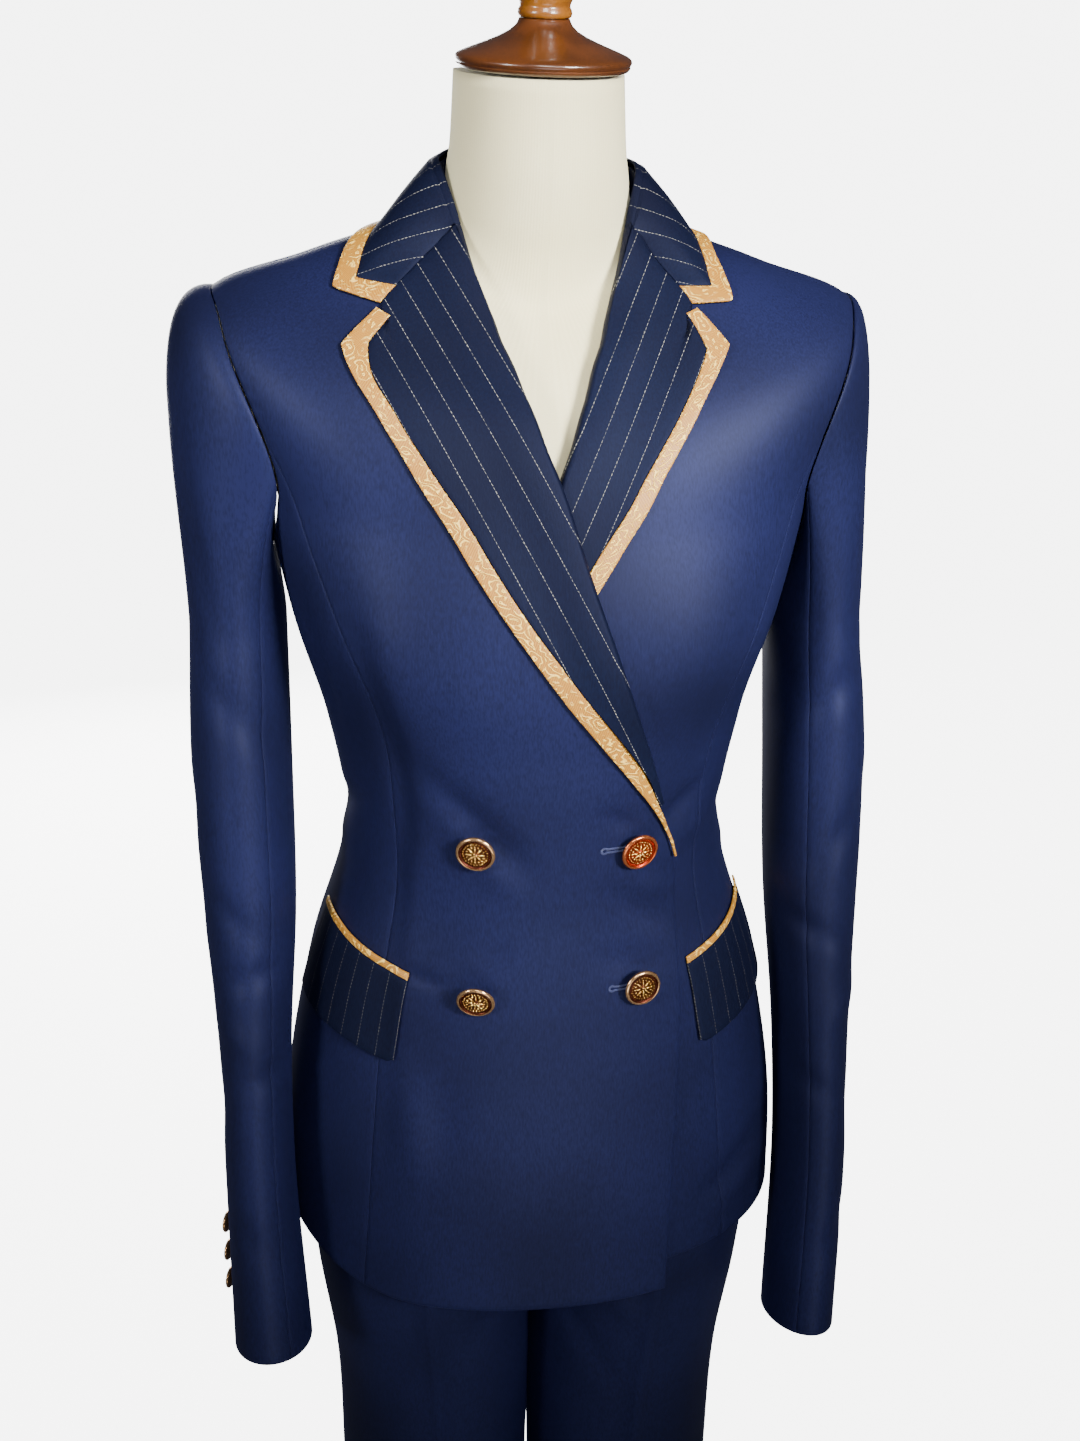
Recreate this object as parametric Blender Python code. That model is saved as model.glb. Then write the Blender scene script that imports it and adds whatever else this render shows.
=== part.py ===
"""A women's double-breasted suit, jacket and trousers, on a limbless dress form with its stand.

Metres, +Z up. The wearer faces -Y, so the wearer's right side is -X. The part stands on z = 0.
Every panel of the jacket is a wall on one surface, torso(angle, height, lift): angle runs round
the body in degrees from the front centre, height is the height of the front, and lift moves the
point out along the surface. Seams are tables of height and angle, given for the left side and
mirrored for the right.
"""

import math

import bmesh
import bpy
import numpy as np
from mathutils import Matrix, Vector

# Cloth, seams and layers
CLOTH = 0.0016
SEAM = 0.0003
LAYER_GAP = 0.0010
LAYER = CLOTH + LAYER_GAP
TROUSER_LIFT = -0.0042
FORM_LIFT = -0.0088

# Jacket
HEM = 0.731
NECKLINE = 1.405
ARMHOLE_SIDE = 1.300
BREAK_POINT = 1.060
HEM_RISE = 0.023
HEM_RISE_TOP = 0.840
# The right shoulder stands a little higher: fall of the surface per metre to the left, and the
# heights between which it comes in
TILT = 0.017
TILT_FROM, TILT_TO = 1.150, 1.330

# Buttons: radius, thickness and distance from the front centre
BUTTON_RADIUS = 0.0125
CUFF_BUTTON_RADIUS = 0.0076
# Place of each front button as angle and height, and how far it tips down in degrees
BUTTONS = {
    ("right", "upper"): (21.0, 1.0815, 3),
    ("left", "upper"): (22.3, 1.0765, 3),
    ("right", "lower"): (18.7, 0.9775, 24),
    ("left", "lower"): (21.6, 0.9770, 8),
}
BUTTON_CLEAR = 0.0006

# Stand
BASE_RADIUS = 0.185
BASE_THICKNESS = 0.012
POLE_RADIUS = 0.0125
POLE_X = -0.084
FORM_BOTTOM = 0.885

TORSO = (
    # height at the front, at the side and at the back; half width, front and back depth; squareness
    (0.731, 0.731, 0.731, 0.1830, 0.136, 0.140, 2.2),
    (0.840, 0.840, 0.840, 0.1780, 0.134, 0.137, 2.2),
    (0.950, 0.950, 0.950, 0.1570, 0.126, 0.116, 2.2),
    (1.052, 1.052, 1.052, 0.1290, 0.119, 0.098, 2.2),
    (1.135, 1.135, 1.135, 0.1390, 0.128, 0.102, 2.2),
    (1.205, 1.205, 1.205, 0.1580, 0.136, 0.108, 2.3),
    (1.270, 1.290, 1.290, 0.1750, 0.126, 0.110, 2.4),
    (1.335, 1.400, 1.375, 0.2000, 0.104, 0.100, 2.3),
    (1.372, 1.424, 1.425, 0.1380, 0.080, 0.082, 2.2),
    (1.405, 1.450, 1.455, 0.0680, 0.056, 0.060, 2.0),
    (1.440, 1.484, 1.496, 0.0600, 0.060, 0.054, 2.0),
)
# The bust: how far each side stands out, and its place and spread in degrees and metres
BUST_DEPTH, BUST_ANGLE, BUST_SPREAD = 0.010, 38.0, 20.0
BUST_HEIGHT, BUST_REACH = 1.205, 0.055

# Seams: height and angle from the front centre, on the left side
PRINCESS_SEAM = (
    (0.731, 43),
    (0.830, 41),
    (0.920, 42),
    (1.010, 46),
    (1.084, 47),
    (1.144, 45),
    (1.186, 45),
    (1.226, 49),
    (1.260, 53),
    (1.300, 55),
)
BACK_SEAM = (
    (0.731, 140),
    (0.840, 138),
    (0.950, 136),
    (1.052, 132),
    (1.135, 131),
    (1.205, 130),
    (1.300, 126),
)
# How far each front runs past the centre: its straight edge, then its roll line
FRONT_EDGE = (
    (0.731, 26.0),
    (0.823, 27.0),
    (0.903, 30.0),
    (0.981, 34.0),
    (1.056, 36.0),
    (1.124, 26.0),
    (1.190, 15.0),
    (1.246, 7.0),
    (1.321, -1.4),
    (1.350, -5.2),
    (1.377, -12.5),
    (1.391, -21.0),
    (1.398, -28.8),
    (1.405, -40.0),
    (1.4095, -47.5),
    (1.414, -54.9),
)
# The armhole, from the shoulder down the front, under the arm and up the back:
# turn round the sleeve in degrees, then angle and height on the body
ARMHOLE = (
    (0, 90, 1.3390),
    (25, 72, 1.3365),
    (50, 62, 1.3280),
    (70, 56.5, 1.3150),
    (90, 55, 1.3000),
    (120, 60, 1.2750),
    (150, 74, 1.2500),
    (180, 90, 1.2380),
    (210, 106, 1.2500),
    (240, 120, 1.2750),
    (270, 126, 1.3000),
    (290, 124.5, 1.3150),
    (310, 118, 1.3280),
    (335, 106, 1.3365),
    (360, 90, 1.3390),
)
SHOULDER_HEIGHTS = (1.352, 1.366, 1.379, 1.388, 1.394, 1.400, NECKLINE)
BODY_HEIGHTS = (0.731, 0.775, 0.820, 0.865, 0.910, 0.955, 1.000, 1.040, 1.080, 1.120, 1.155)
CHEST_HEIGHTS = (1.190, 1.220, 1.250, 1.276, ARMHOLE_SIDE)

# Lapel outlines as angle and height, from the notch round the tip and down to the break point.
# The navy part ends at the inner line, and the band of brocade runs from there to the edge.
LAPEL_EDGE = {
    "right": ((41.5, 1.3525), (35, 1.3418), (29.8, 1.3315), (26.2, 1.3192), (22, 1.2930),
              (17.3, 1.2625), (10.2, 1.2283), (0.8, 1.1905), (-8.8, 1.1580), (-18.5, 1.1265),
              (-25.4, 1.1040), (-30.8, 1.0800)),
    "left": ((38.2, 1.3587), (32.2, 1.3512), (25.8, 1.3400), (21.4, 1.3272), (17.6, 1.3090),
             (15.2, 1.2895), (11, 1.2664), (6.6, 1.2450), (1.5, 1.2160), (-4, 1.1900),
             (-11, 1.1600), (-19, 1.1300), (-25.6, 1.1020), (-30.8, 1.0800)),
}
LAPEL_INNER = {
    "right": ((38, 1.3580), (32.3, 1.3450), (26.8, 1.3336), (23.3, 1.3215), (18.2, 1.2949),
              (13.3, 1.2640), (6, 1.2290), (-4.2, 1.1910), (-14.2, 1.1580), (-21.6, 1.1315),
              (-26.4, 1.1070), (-32.6, 1.0800)),
    "left": ((33.5, 1.3610), (29.2, 1.3544), (23, 1.3424), (18.6, 1.3296), (14.5, 1.3110),
             (11.7, 1.2915), (6.9, 1.2670), (2.4, 1.2450), (-2.6, 1.2160), (-8.5, 1.1900),
             (-15.5, 1.1580), (-21.8, 1.1300), (-26.4, 1.1070), (-32.6, 1.0800)),
}
# The lapel's top, from the roll line along the gorge to the notch, and on to the band's inner
# corner. The band on the notch ends between the last point of the gorge and NOTCH_INNER.
GORGE = {
    "right": ((54.9, 1.4140), (56.5, 1.4030), (54.2, 1.3955), (51.0, 1.3890), (47.9, 1.3820),
              (45.3, 1.3745)),
    "left": ((54.9, 1.4140), (57.0, 1.4045), (52.6, 1.3970), (49.0, 1.3910), (46.1, 1.3855),
             (42.5, 1.3790)),
}
NOTCH = {"right": (44.6, 1.3722), "left": (41.8, 1.3768)}
NOTCH_INNER = {"right": (40.3, 1.3720), "left": (38.2, 1.3772)}

# The collar's fold over its stand: angle and height. It carries the roll line on round the neck.
COLLAR_FOLD = (
    (47.5, 1.4095),
    (54.9, 1.4140),
    (62, 1.4190),
    (70, 1.4245),
    (78, 1.4297),
    (90, 1.4335),
    (112, 1.4350),
    (145, 1.4355),
    (180, 1.4360),
)
# The collar from its front corner round to the back: angle of the fold, then angle and height of
# the brocade band's inner line and of the edge. The gorge comes before the first row.
COLLAR = {
    "right": (
        (62, 57.0, 1.3765, 57.8, 1.3695),
        (70, 63.4, 1.3810, 65.6, 1.3760),
        (79, 76.9, 1.3872, 77.0, 1.3817),
        (92, 92.0, 1.3915, 92.0, 1.3862),
        (115, 115.0, 1.3930, 115.0, 1.3880),
        (147, 147.0, 1.3890, 147.0, 1.3840),
        (180, 180.0, 1.3875, 180.0, 1.3825),
    ),
    "left": (
        (61, 52.1, 1.3795, 50.8, 1.3718),
        (68, 58.5, 1.3835, 60.4, 1.3795),
        (78, 71.0, 1.3885, 72.5, 1.3850),
        (92, 92.0, 1.3925, 92.0, 1.3875),
        (115, 115.0, 1.3930, 115.0, 1.3880),
        (147, 147.0, 1.3890, 147.0, 1.3840),
        (180, 180.0, 1.3875, 180.0, 1.3825),
    ),
}


def smooth(table, at):
    """The columns of a table at given values of its first column, on a smooth curve."""
    rows = np.array(table, float)
    x, y = rows[:, 0], rows[:, 1:]
    step = np.diff(x)[:, None]
    slope = np.diff(y, axis=0) / step
    tangent = np.zeros_like(y)
    tangent[1:-1] = (step[1:] * slope[:-1] + step[:-1] * slope[1:]) / (step[:-1] + step[1:])
    tangent[0], tangent[-1] = slope[0], slope[-1]
    at = np.asarray(at, float)
    i = np.clip(np.searchsorted(x, at, side="right") - 1, 0, len(x) - 2)
    span = (x[i + 1] - x[i])[..., None]
    t = (at[..., None] - x[i][..., None]) / span
    return (
        (2 * t**3 - 3 * t**2 + 1) * y[i]
        + (t**3 - 2 * t**2 + t) * span * tangent[i]
        + (3 * t**2 - 2 * t**3) * y[i + 1]
        + (t**3 - t**2) * span * tangent[i + 1]
    )


def ease(t):
    t = np.clip(t, 0, 1)
    return t * t * (3 - 2 * t)


def unit(vector):
    return vector / np.linalg.norm(vector, axis=-1, keepdims=True)


def torso_ring(angle, height):
    side, back_height, width, front, back, square = np.moveaxis(smooth(TORSO, height), -1, 0)
    a = np.radians(angle)
    c, s = np.cos(a), np.sin(a)
    r = (np.abs(c) ** square + np.abs(s) ** square) ** (-1 / square)
    turned = (np.abs((angle + 180) % 360 - 180) - BUST_ANGLE) / BUST_SPREAD
    bust = BUST_DEPTH * np.exp(-(turned**2) - ((height - BUST_HEIGHT) / BUST_REACH) ** 2)
    x = width * s * r + 0.4 * bust * s
    y = -np.where(c > 0, front, back) * c * r - bust * c
    z = side + np.where(c > 0, height - side, back_height - side) * c * c
    z = z - TILT * x * ease((height - TILT_FROM) / (TILT_TO - TILT_FROM))
    return np.stack([x, y, z], -1)


def torso(angle, height, lift=0.0):
    """Points of the jacket's outer surface, moved out by lift along its normal."""
    angle, height = np.broadcast_arrays(np.asarray(angle, float), np.asarray(height, float))
    across = torso_ring(angle + 0.05, height) - torso_ring(angle - 0.05, height)
    up = torso_ring(angle, height + 0.0002) - torso_ring(angle, height - 0.0002)
    normal = unit(np.cross(across, up))
    return torso_ring(angle, height) + normal * np.broadcast_to(lift, angle.shape)[..., None]


def line_through(points, count):
    """Points spaced evenly along a smooth line through (angle, height) points of the torso."""
    rows = np.array(points, float)
    place = torso(rows[:, 0], rows[:, 1])
    along = np.concatenate([[0], np.cumsum(np.linalg.norm(np.diff(place, axis=0), axis=1))])
    return smooth(np.column_stack([along / along[-1], rows]), np.linspace(0, 1, count))


def degrees(distance, angle, height):
    """The turn in degrees that moves a point of the torso by a distance along its ring."""
    step = np.linalg.norm(torso_ring(angle + 0.5, height) - torso_ring(angle - 0.5, height), axis=-1)
    return distance / step


def front_lift(angle, height):
    """The right front lies over the left one, and over its lapel further up. The rise eases out
    before the right front's princess seam and above the crossing of the lapels."""
    two_layers = ease((height - 1.015) / 0.055) * ease((1.395 - height) / 0.06)
    rise = LAYER + LAYER * two_layers
    rise = rise * ease((1.395 - height) / 0.06)
    left_edge = -smooth(FRONT_EDGE, height)[..., 0]
    fade_start = np.minimum(left_edge - 1.5, 12)
    fade_end = -smooth(PRINCESS_SEAM, np.minimum(height, ARMHOLE_SIDE))[..., 0] + 0.5
    return rise * ease((angle - fade_end) / (fade_start - fade_end))


def hem_rise(side, angle, height):
    """The hem dips at the front of the right side and is level elsewhere."""
    share = 1.0 if side == "left" else ease((-angle - 34) / 40)
    return HEM_RISE * share * np.clip((HEM_RISE_TOP - height) / (HEM_RISE_TOP - HEM), 0, 1)


def material(name, colour, roughness, metallic=0.0):
    made = bpy.data.materials.get(name) or bpy.data.materials.new(name)
    made.use_nodes = True
    shader = made.node_tree.nodes["Principled BSDF"]
    shader.inputs["Base Color"].default_value = (*colour, 1)
    shader.inputs["Roughness"].default_value = roughness
    shader.inputs["Metallic"].default_value = metallic
    return made


def navy_satin():
    return material("navy_satin", (0.020, 0.028, 0.110), 0.45)


def pinstripe_cloth():
    return material("pinstripe_cloth", (0.012, 0.020, 0.075), 0.65)


def gold_brocade():
    return material("gold_brocade", (0.640, 0.370, 0.150), 0.50)


def gilt_metal():
    return material("gilt_metal", (0.800, 0.480, 0.270), 0.25, 1.0)


def linen():
    return material("linen", (0.700, 0.640, 0.520), 0.85)


def dark_wood():
    return material("dark_wood", (0.150, 0.050, 0.015), 0.35)


def honey_wood():
    return material("honey_wood", (0.380, 0.130, 0.020), 0.30)


def blackened_steel():
    return material("blackened_steel", (0.030, 0.030, 0.032), 0.40, 1.0)


def new_object(name, mesh, finish):
    mesh.materials.append(finish)
    mesh.shade_smooth()
    mesh.set_sharp_from_angle(angle=math.radians(40))
    made = bpy.data.objects.new(name, mesh)
    bpy.context.scene.collection.objects.link(made)
    return made


def wall(name, outer, inner, finish):
    """A closed wall between two grids of points of the same rows and columns."""
    rows, columns = outer.shape[:2]
    points = np.concatenate([outer.reshape(-1, 3), inner.reshape(-1, 3)])
    index = np.arange(rows * columns).reshape(rows, columns)
    other = index + rows * columns
    faces = []
    for v in range(rows - 1):
        for u in range(columns - 1):
            faces.append((index[v, u], index[v, u + 1], index[v + 1, u + 1], index[v + 1, u]))
            faces.append((other[v, u], other[v + 1, u], other[v + 1, u + 1], other[v, u + 1]))
    border = [(0, u) for u in range(columns)] + [(v, columns - 1) for v in range(1, rows)]
    border += [(rows - 1, u) for u in range(columns - 2, -1, -1)]
    border += [(v, 0) for v in range(rows - 2, 0, -1)]
    for here, there in zip(border, border[1:] + border[:1]):
        faces.append((index[here], other[here], other[there], index[there]))
    return closed_mesh(name, points, faces, finish)


def closed_mesh(name, points, faces, finish):
    mesh = bpy.data.meshes.new(name)
    mesh.from_pydata([tuple(p) for p in points], [], [tuple(map(int, f)) for f in faces])
    work = bmesh.new()
    work.from_mesh(mesh)
    bmesh.ops.recalc_face_normals(work, faces=work.faces)
    if work.calc_volume(signed=True) < 0:
        bmesh.ops.reverse_faces(work, faces=work.faces)
    work.to_mesh(mesh)
    work.free()
    return new_object(name, mesh, finish)


def tube(name, rings, finish):
    """A closed solid through rings of the same number of points, with flat ends."""
    rings = np.asarray(rings)
    count, around = rings.shape[:2]
    index = np.arange(count * around).reshape(count, around)
    faces = [tuple(index[0]), tuple(index[-1])]
    for v in range(count - 1):
        for u in range(around):
            w = (u + 1) % around
            faces.append((index[v, u], index[v, w], index[v + 1, w], index[v + 1, u]))
    return closed_mesh(name, rings.reshape(-1, 3), faces, finish)


def turned(name, profile, finish, segments=24, place=None):
    """A solid turned from (radius, height) pairs that start and end on the axis."""
    mesh = bpy.data.meshes.new(name)
    work = bmesh.new()
    verts = [work.verts.new((r, 0, z)) for r, z in profile]
    edges = [work.edges.new(pair) for pair in zip(verts, verts[1:])]
    bmesh.ops.spin(
        work,
        geom=verts + edges,
        axis=(0, 0, 1),
        cent=(0, 0, 0),
        steps=segments,
        angle=math.tau,
        use_merge=True,
    )
    bmesh.ops.remove_doubles(work, verts=work.verts, dist=1e-6)
    bmesh.ops.recalc_face_normals(work, faces=work.faces)
    work.to_mesh(mesh)
    work.free()
    made = new_object(name, mesh, finish)
    if place is not None:
        made.matrix_world = place
    return made


def mirrored(side, angle):
    return angle if side == "left" else -angle


# Jacket body ------------------------------------------------------------------------------


def front_outer_angle(height):
    """The outer boundary of a front: princess seam, front of the armhole, shoulder seam."""
    armhole = np.array([(h, a) for turn, a, h in reversed(ARMHOLE) if turn <= 90])
    seam = smooth(PRINCESS_SEAM, np.minimum(height, ARMHOLE_SIDE))[..., 0]
    hole = np.interp(height, armhole[:, 0], armhole[:, 1])
    return np.where(height <= ARMHOLE_SIDE, seam, hole)


def back_outer_angle(height):
    armhole = np.array([(h, a) for turn, a, h in ARMHOLE if turn >= 270])
    seam = smooth(BACK_SEAM, np.minimum(height, ARMHOLE_SIDE))[..., 0]
    hole = np.interp(height, armhole[:, 0], armhole[:, 1])
    return np.where(height <= ARMHOLE_SIDE, seam, hole)


def panel_heights(from_turn, to_turn):
    rows = [h for turn, _, h in ARMHOLE if from_turn <= turn <= to_turn]
    return np.array(sorted(set(BODY_HEIGHTS + CHEST_HEIGHTS + SHOULDER_HEIGHTS + tuple(rows))))


def panel(name, side, angle, height, lift=0.0, finish=None):
    """A jacket panel: a wall on the torso. Angles are the left side's, and height is the cut's
    before the hem's dip is added."""
    angle = mirrored(side, angle)
    height = height + hem_rise(side, angle, height)
    lift = lift(angle, height) if callable(lift) else lift
    outer = torso(angle, height, lift)
    inner = torso(angle, height, lift - CLOTH)
    return wall(name, outer, inner, finish or navy_satin())


def seam_gap(angle, height):
    return degrees(SEAM / 2, angle, height)


def jacket_front(side):
    heights = panel_heights(0, 90)
    across = np.linspace(0, 1, 10)
    edge = -smooth(FRONT_EDGE, heights)[..., 0]
    outer = front_outer_angle(heights)
    edge = edge + degrees(FOLD_SETBACK, edge, heights) * (heights > BREAK_POINT)
    outer = outer - seam_gap(outer, heights)
    angle = edge[:, None] + (outer - edge)[:, None] * across
    height = np.broadcast_to(heights[:, None], angle.shape)
    lift = front_lift if side == "right" else 0.0
    return panel(f"jacket_front_{side}", side, angle, height, lift)


def jacket_side(side):
    heights = np.array(BODY_HEIGHTS + CHEST_HEIGHTS)
    under = np.array([(a, h) for turn, a, h in ARMHOLE if 90 <= turn <= 270])
    across = (under[:, 0] - under[0, 0]) / (under[-1, 0] - under[0, 0])
    left = smooth(PRINCESS_SEAM, heights)[..., 0]
    right = smooth(BACK_SEAM, heights)[..., 0]
    left = left + seam_gap(left, heights)
    right = right - seam_gap(right, heights)
    angle = left[:, None] + (right - left)[:, None] * across
    share = (heights - HEM) / (ARMHOLE_SIDE - HEM)
    height = HEM + share[:, None] * (under[:, 1] - HEM)
    return panel(f"jacket_side_{side}", side, angle, height)


def jacket_back(side):
    heights = panel_heights(270, 360)
    across = np.linspace(0, 1, 7)
    outer = back_outer_angle(heights)
    outer = outer + seam_gap(outer, heights)
    centre = 180 - seam_gap(180.0, heights)
    angle = outer[:, None] + (centre - outer)[:, None] * across
    height = np.broadcast_to(heights[:, None], angle.shape)
    return panel(f"jacket_back_{side}", side, angle, height)


# Sleeves ----------------------------------------------------------------------------------

# The sleeve below the biceps: share of its length, height, place and half sizes of its rings
SLEEVE = {
    "right": (
        # share, height, centre x, centre y, half width, half depth
        (0.00, 1.200, 0.1928, -0.003, 0.0312, 0.0560),
        (0.19, 1.100, 0.1955, -0.015, 0.0330, 0.0545),
        (0.39, 1.000, 0.1950, -0.030, 0.0305, 0.0515),
        (0.58, 0.900, 0.1965, -0.048, 0.0245, 0.0490),
        (0.74, 0.820, 0.1975, -0.063, 0.0240, 0.0475),
        (1.00, 0.680, 0.1945, -0.086, 0.0275, 0.0460),
    ),
    "left": (
        (0.00, 1.196, 0.1885, -0.003, 0.0300, 0.0560),
        (0.19, 1.095, 0.1945, -0.015, 0.0330, 0.0545),
        (0.39, 0.994, 0.1950, -0.030, 0.0305, 0.0515),
        (0.58, 0.892, 0.1975, -0.048, 0.0245, 0.0490),
        (0.74, 0.808, 0.1990, -0.063, 0.0235, 0.0475),
        (1.00, 0.664, 0.1940, -0.086, 0.0240, 0.0460),
    ),
}
CUFF_SLOPE = 0.34
SLEEVE_SEAMS = (120, 240)
SLEEVE_SHARES = (-1.0, -0.78, -0.52, -0.26, 0.0, 0.13, 0.27, 0.42, 0.58, 0.74, 0.87, 1.0)
# Directions at the armhole, on top of the shoulder and under the arm: out of the cloth, and along
# it into the sleeve. Forwards goes with the sine of the turn and upwards with its cosine.
HEAD_OUT = (np.array([0.55, -0.80, 0.75]), np.array([-0.90, -0.80, 0.30]))
HEAD_LEAVE = (np.array([1.0, -0.25, 0.10]), np.array([0.20, -0.25, 1.00]))
HEAD_DOWN = np.array([0, 0.05, 1.0])
HEAD_CLEAR = np.array([0.0010, 0, 0])
HEAD_RUN_IN = 0.42
# How full the head is all round, and how much more at its top
HEAD_FULLNESS = {"right": (0.11, 0.11), "left": (0.02, 0.07)}


def mirror_of(side):
    return np.array([-1.0 if side == "right" else 1.0, 1, 1])


def sleeve_ring(side, turn, share):
    """Points of the left-hand shape of a sleeve below the biceps. turn is 0 at the outside of
    the arm, 90 at its front."""
    height, x, y, width, depth = np.moveaxis(smooth(SLEEVE[side], share), -1, 0)
    t = np.radians(turn)
    forward = depth * np.sin(t)
    return np.stack([x + width * np.cos(t), y - forward, height + CUFF_SLOPE * share * forward], -1)


def armhole_point(side, turn):
    rows = np.array(ARMHOLE)
    angle = np.interp(turn, rows[:, 0], rows[:, 1])
    height = np.interp(turn, rows[:, 0], rows[:, 2])
    return torso(mirrored(side, angle), height) * mirror_of(side)


def sleeve_point(side, turn, share, lift):
    """Points of the whole sleeve. share below 0 is the head, from -1 at the armhole."""
    turn, share = np.broadcast_arrays(np.asarray(turn, float), np.asarray(share, float))
    t = np.radians(turn)
    parts = np.stack([np.ones_like(t), np.sin(t), np.cos(t)], -1)
    under = (1 - parts[..., 2:]) / 2
    head_out = (HEAD_OUT[0] * (1 - under) + HEAD_OUT[1] * under) * parts
    out = np.stack([np.cos(t), -np.sin(t), 0 * t], -1)
    start = armhole_point(side, turn) + head_out * lift + HEAD_CLEAR
    end = sleeve_ring(side, turn, 0 * t) + out * lift
    reach = np.linalg.norm(end - start, axis=-1)[..., None]
    level, top = HEAD_FULLNESS[side]
    leave = (HEAD_LEAVE[0] * (1 - under) + HEAD_LEAVE[1] * under) * parts * reach
    leave = leave * (level + top * np.maximum(parts[..., 2:], 0))
    s = np.clip(share + 1, 0, 1)[..., None]
    head = (
        (1 - s) ** 3 * start
        + 3 * (1 - s) ** 2 * s * (start + leave)
        + 3 * (1 - s) * s**2 * (end + HEAD_DOWN * reach * HEAD_RUN_IN)
        + s**3 * end
    )
    low = sleeve_ring(side, turn, np.maximum(share, 0)) + out * lift
    return np.where((share < 0)[..., None], head, low) * mirror_of(side)


def sleeve_half(side, half):
    front, back = SLEEVE_SEAMS
    turns = [row[0] for row in ARMHOLE]
    if half == "under":
        turns = [turn for turn in turns if front <= turn <= back]
    else:
        turns = [t for t in turns if t >= back] + [t for t in turns[1:] if t <= front]
    turn, share = np.meshgrid(turns, SLEEVE_SHARES)
    grids = [sleeve_point(side, turn, share, lift) for lift in (0.0, -CLOTH)]
    for grid in grids:
        grid[:, 0] += unit(grid[:, 1] - grid[:, 0]) * SEAM * 2
        grid[:, -1] += unit(grid[:, -2] - grid[:, -1]) * SEAM * 2
    return wall(f"sleeve_{half}_{side}", *grids, navy_satin())


# Lapels, collar and their bands -----------------------------------------------------------


LAPEL_ROWS = 20
LAPEL_FOOT = 1.107
LAPEL_SEAM = 0.0009
LAPEL_BLEND = 6
# The rolled edge of a lapel or collar: distance in from its fold and lift, outside and inside
ROLLED_EDGE = (
    (-0.0003, -CLOTH, 0.0014, -CLOTH),
    (-0.0003, 0.0010, 0.0014, 0.0002),
    (0.0008, 0.0021, 0.0022, LAYER_GAP),
)
ROLL_DEPTH = 0.0030
ROLL_SHARE = 0.45
FOLD_SETBACK = 0.0026
STAND_TOP, STAND_FOOT = 0.0042, 0.0013
COLLAR_STATIONS = (0, 0.5, 1, 1.5, 2, 2.5, 3, 3.5, 4, 4.4, 4.8, 5.2, 5.6, 6, 6.35, 6.7, 7)
COLLAR_RISE = 0.0005


def rolled_edge(fold, normal, next_outer, next_inner, share=1.0):
    """The outer and inner columns that turn a lapel's or collar's edge over the fold. share makes
    the roll narrower where the cloth is too narrow for a whole one."""
    inwards = unit(next_outer - fold)
    inwards = unit(inwards - normal * (inwards * normal).sum(-1, keepdims=True)) * share
    outer = [fold + inwards * d + normal * n for d, n, _, _ in ROLLED_EDGE]
    inner = [fold + inwards * d + normal * n for _, _, d, n in ROLLED_EDGE]
    return np.stack([*outer, next_outer], 1), np.stack([*inner, next_inner], 1)


def lapel_lift(side, angle, height):
    """The height of the panel that a lapel lies on."""
    if side == "left":
        return np.zeros(np.shape(angle))
    return front_lift(angle, height)


def lapel_lines(side):
    """The inner line and the edge of a lapel's band, in rows up from the break point."""
    inner = line_through(LAPEL_INNER[side][::-1], LAPEL_ROWS)
    edge = line_through(LAPEL_EDGE[side][::-1], LAPEL_ROWS)
    return inner, edge


def lapel(side):
    """The navy part of a lapel, from its roll line to the band, the gorge at its top."""
    heights = np.linspace(LAPEL_FOOT, GORGE[side][0][1], LAPEL_ROWS)
    roll = np.column_stack([-smooth(FRONT_EDGE, heights)[..., 0], heights])
    inner_line = line_through(LAPEL_INNER[side][-2::-1], LAPEL_ROWS)
    inner_line[:, 0] -= degrees(LAPEL_SEAM, *inner_line.T)
    width = np.linalg.norm(torso(*roll.T) - torso(*inner_line.T), axis=-1)
    share = np.minimum(width * ROLL_SHARE / ROLL_DEPTH, 1)[:, None]
    top = np.array([*GORGE[side], NOTCH_INNER[side], inner_line[-1]])
    across = np.linspace(0, 1, len(top))
    start = share * ROLL_DEPTH / width[:, None] * (across > 0)
    across = (start + (1 - start) * across)[..., None]
    ruled = roll[:, None] * (1 - across) + inner_line[:, None] * across
    up = np.linspace(0, 1, LAPEL_ROWS)[:, None, None]
    patch = ruled + up**LAPEL_BLEND * (top - ruled[-1])
    angle, height = mirrored(side, patch[..., 0]), patch[..., 1]
    rise = lapel_lift(side, angle, height)
    fold = torso(angle[:, 0], height[:, 0], rise[:, 0])
    normal = unit(torso(angle[:, 0], height[:, 0], rise[:, 0] + 0.001) - fold)
    outer, inner = torso(angle, height, rise + LAYER), torso(angle, height, rise + LAYER_GAP)
    edges = rolled_edge(fold, normal, outer[:, 1], inner[:, 1], share)
    outer, inner = (np.concatenate([e, g[:, 2:]], 1) for e, g in zip(edges, (outer, inner)))
    for grid in (outer, inner):
        grid[-1] += unit(grid[-2] - grid[-1]) * SEAM * 2
        grid[-1, -2:] += unit(grid[-1, 2] - grid[-1, -2:]) * SEAM * 2
    return wall(f"lapel_{side}", outer, inner, pinstripe_cloth())


def band(name, side, line, edge, rise):
    """A narrow wall between two lines of (angle, height) on the lapel's or collar's level."""
    pair = np.stack([line, (line + edge) / 2, edge], 1)
    angle, height = mirrored(side, pair[..., 0]), pair[..., 1]
    rise = rise(angle, height)
    outer, inner = torso(angle, height, rise + LAYER), torso(angle, height, rise + LAYER_GAP)
    return wall(name, outer, inner, gold_brocade())


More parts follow.
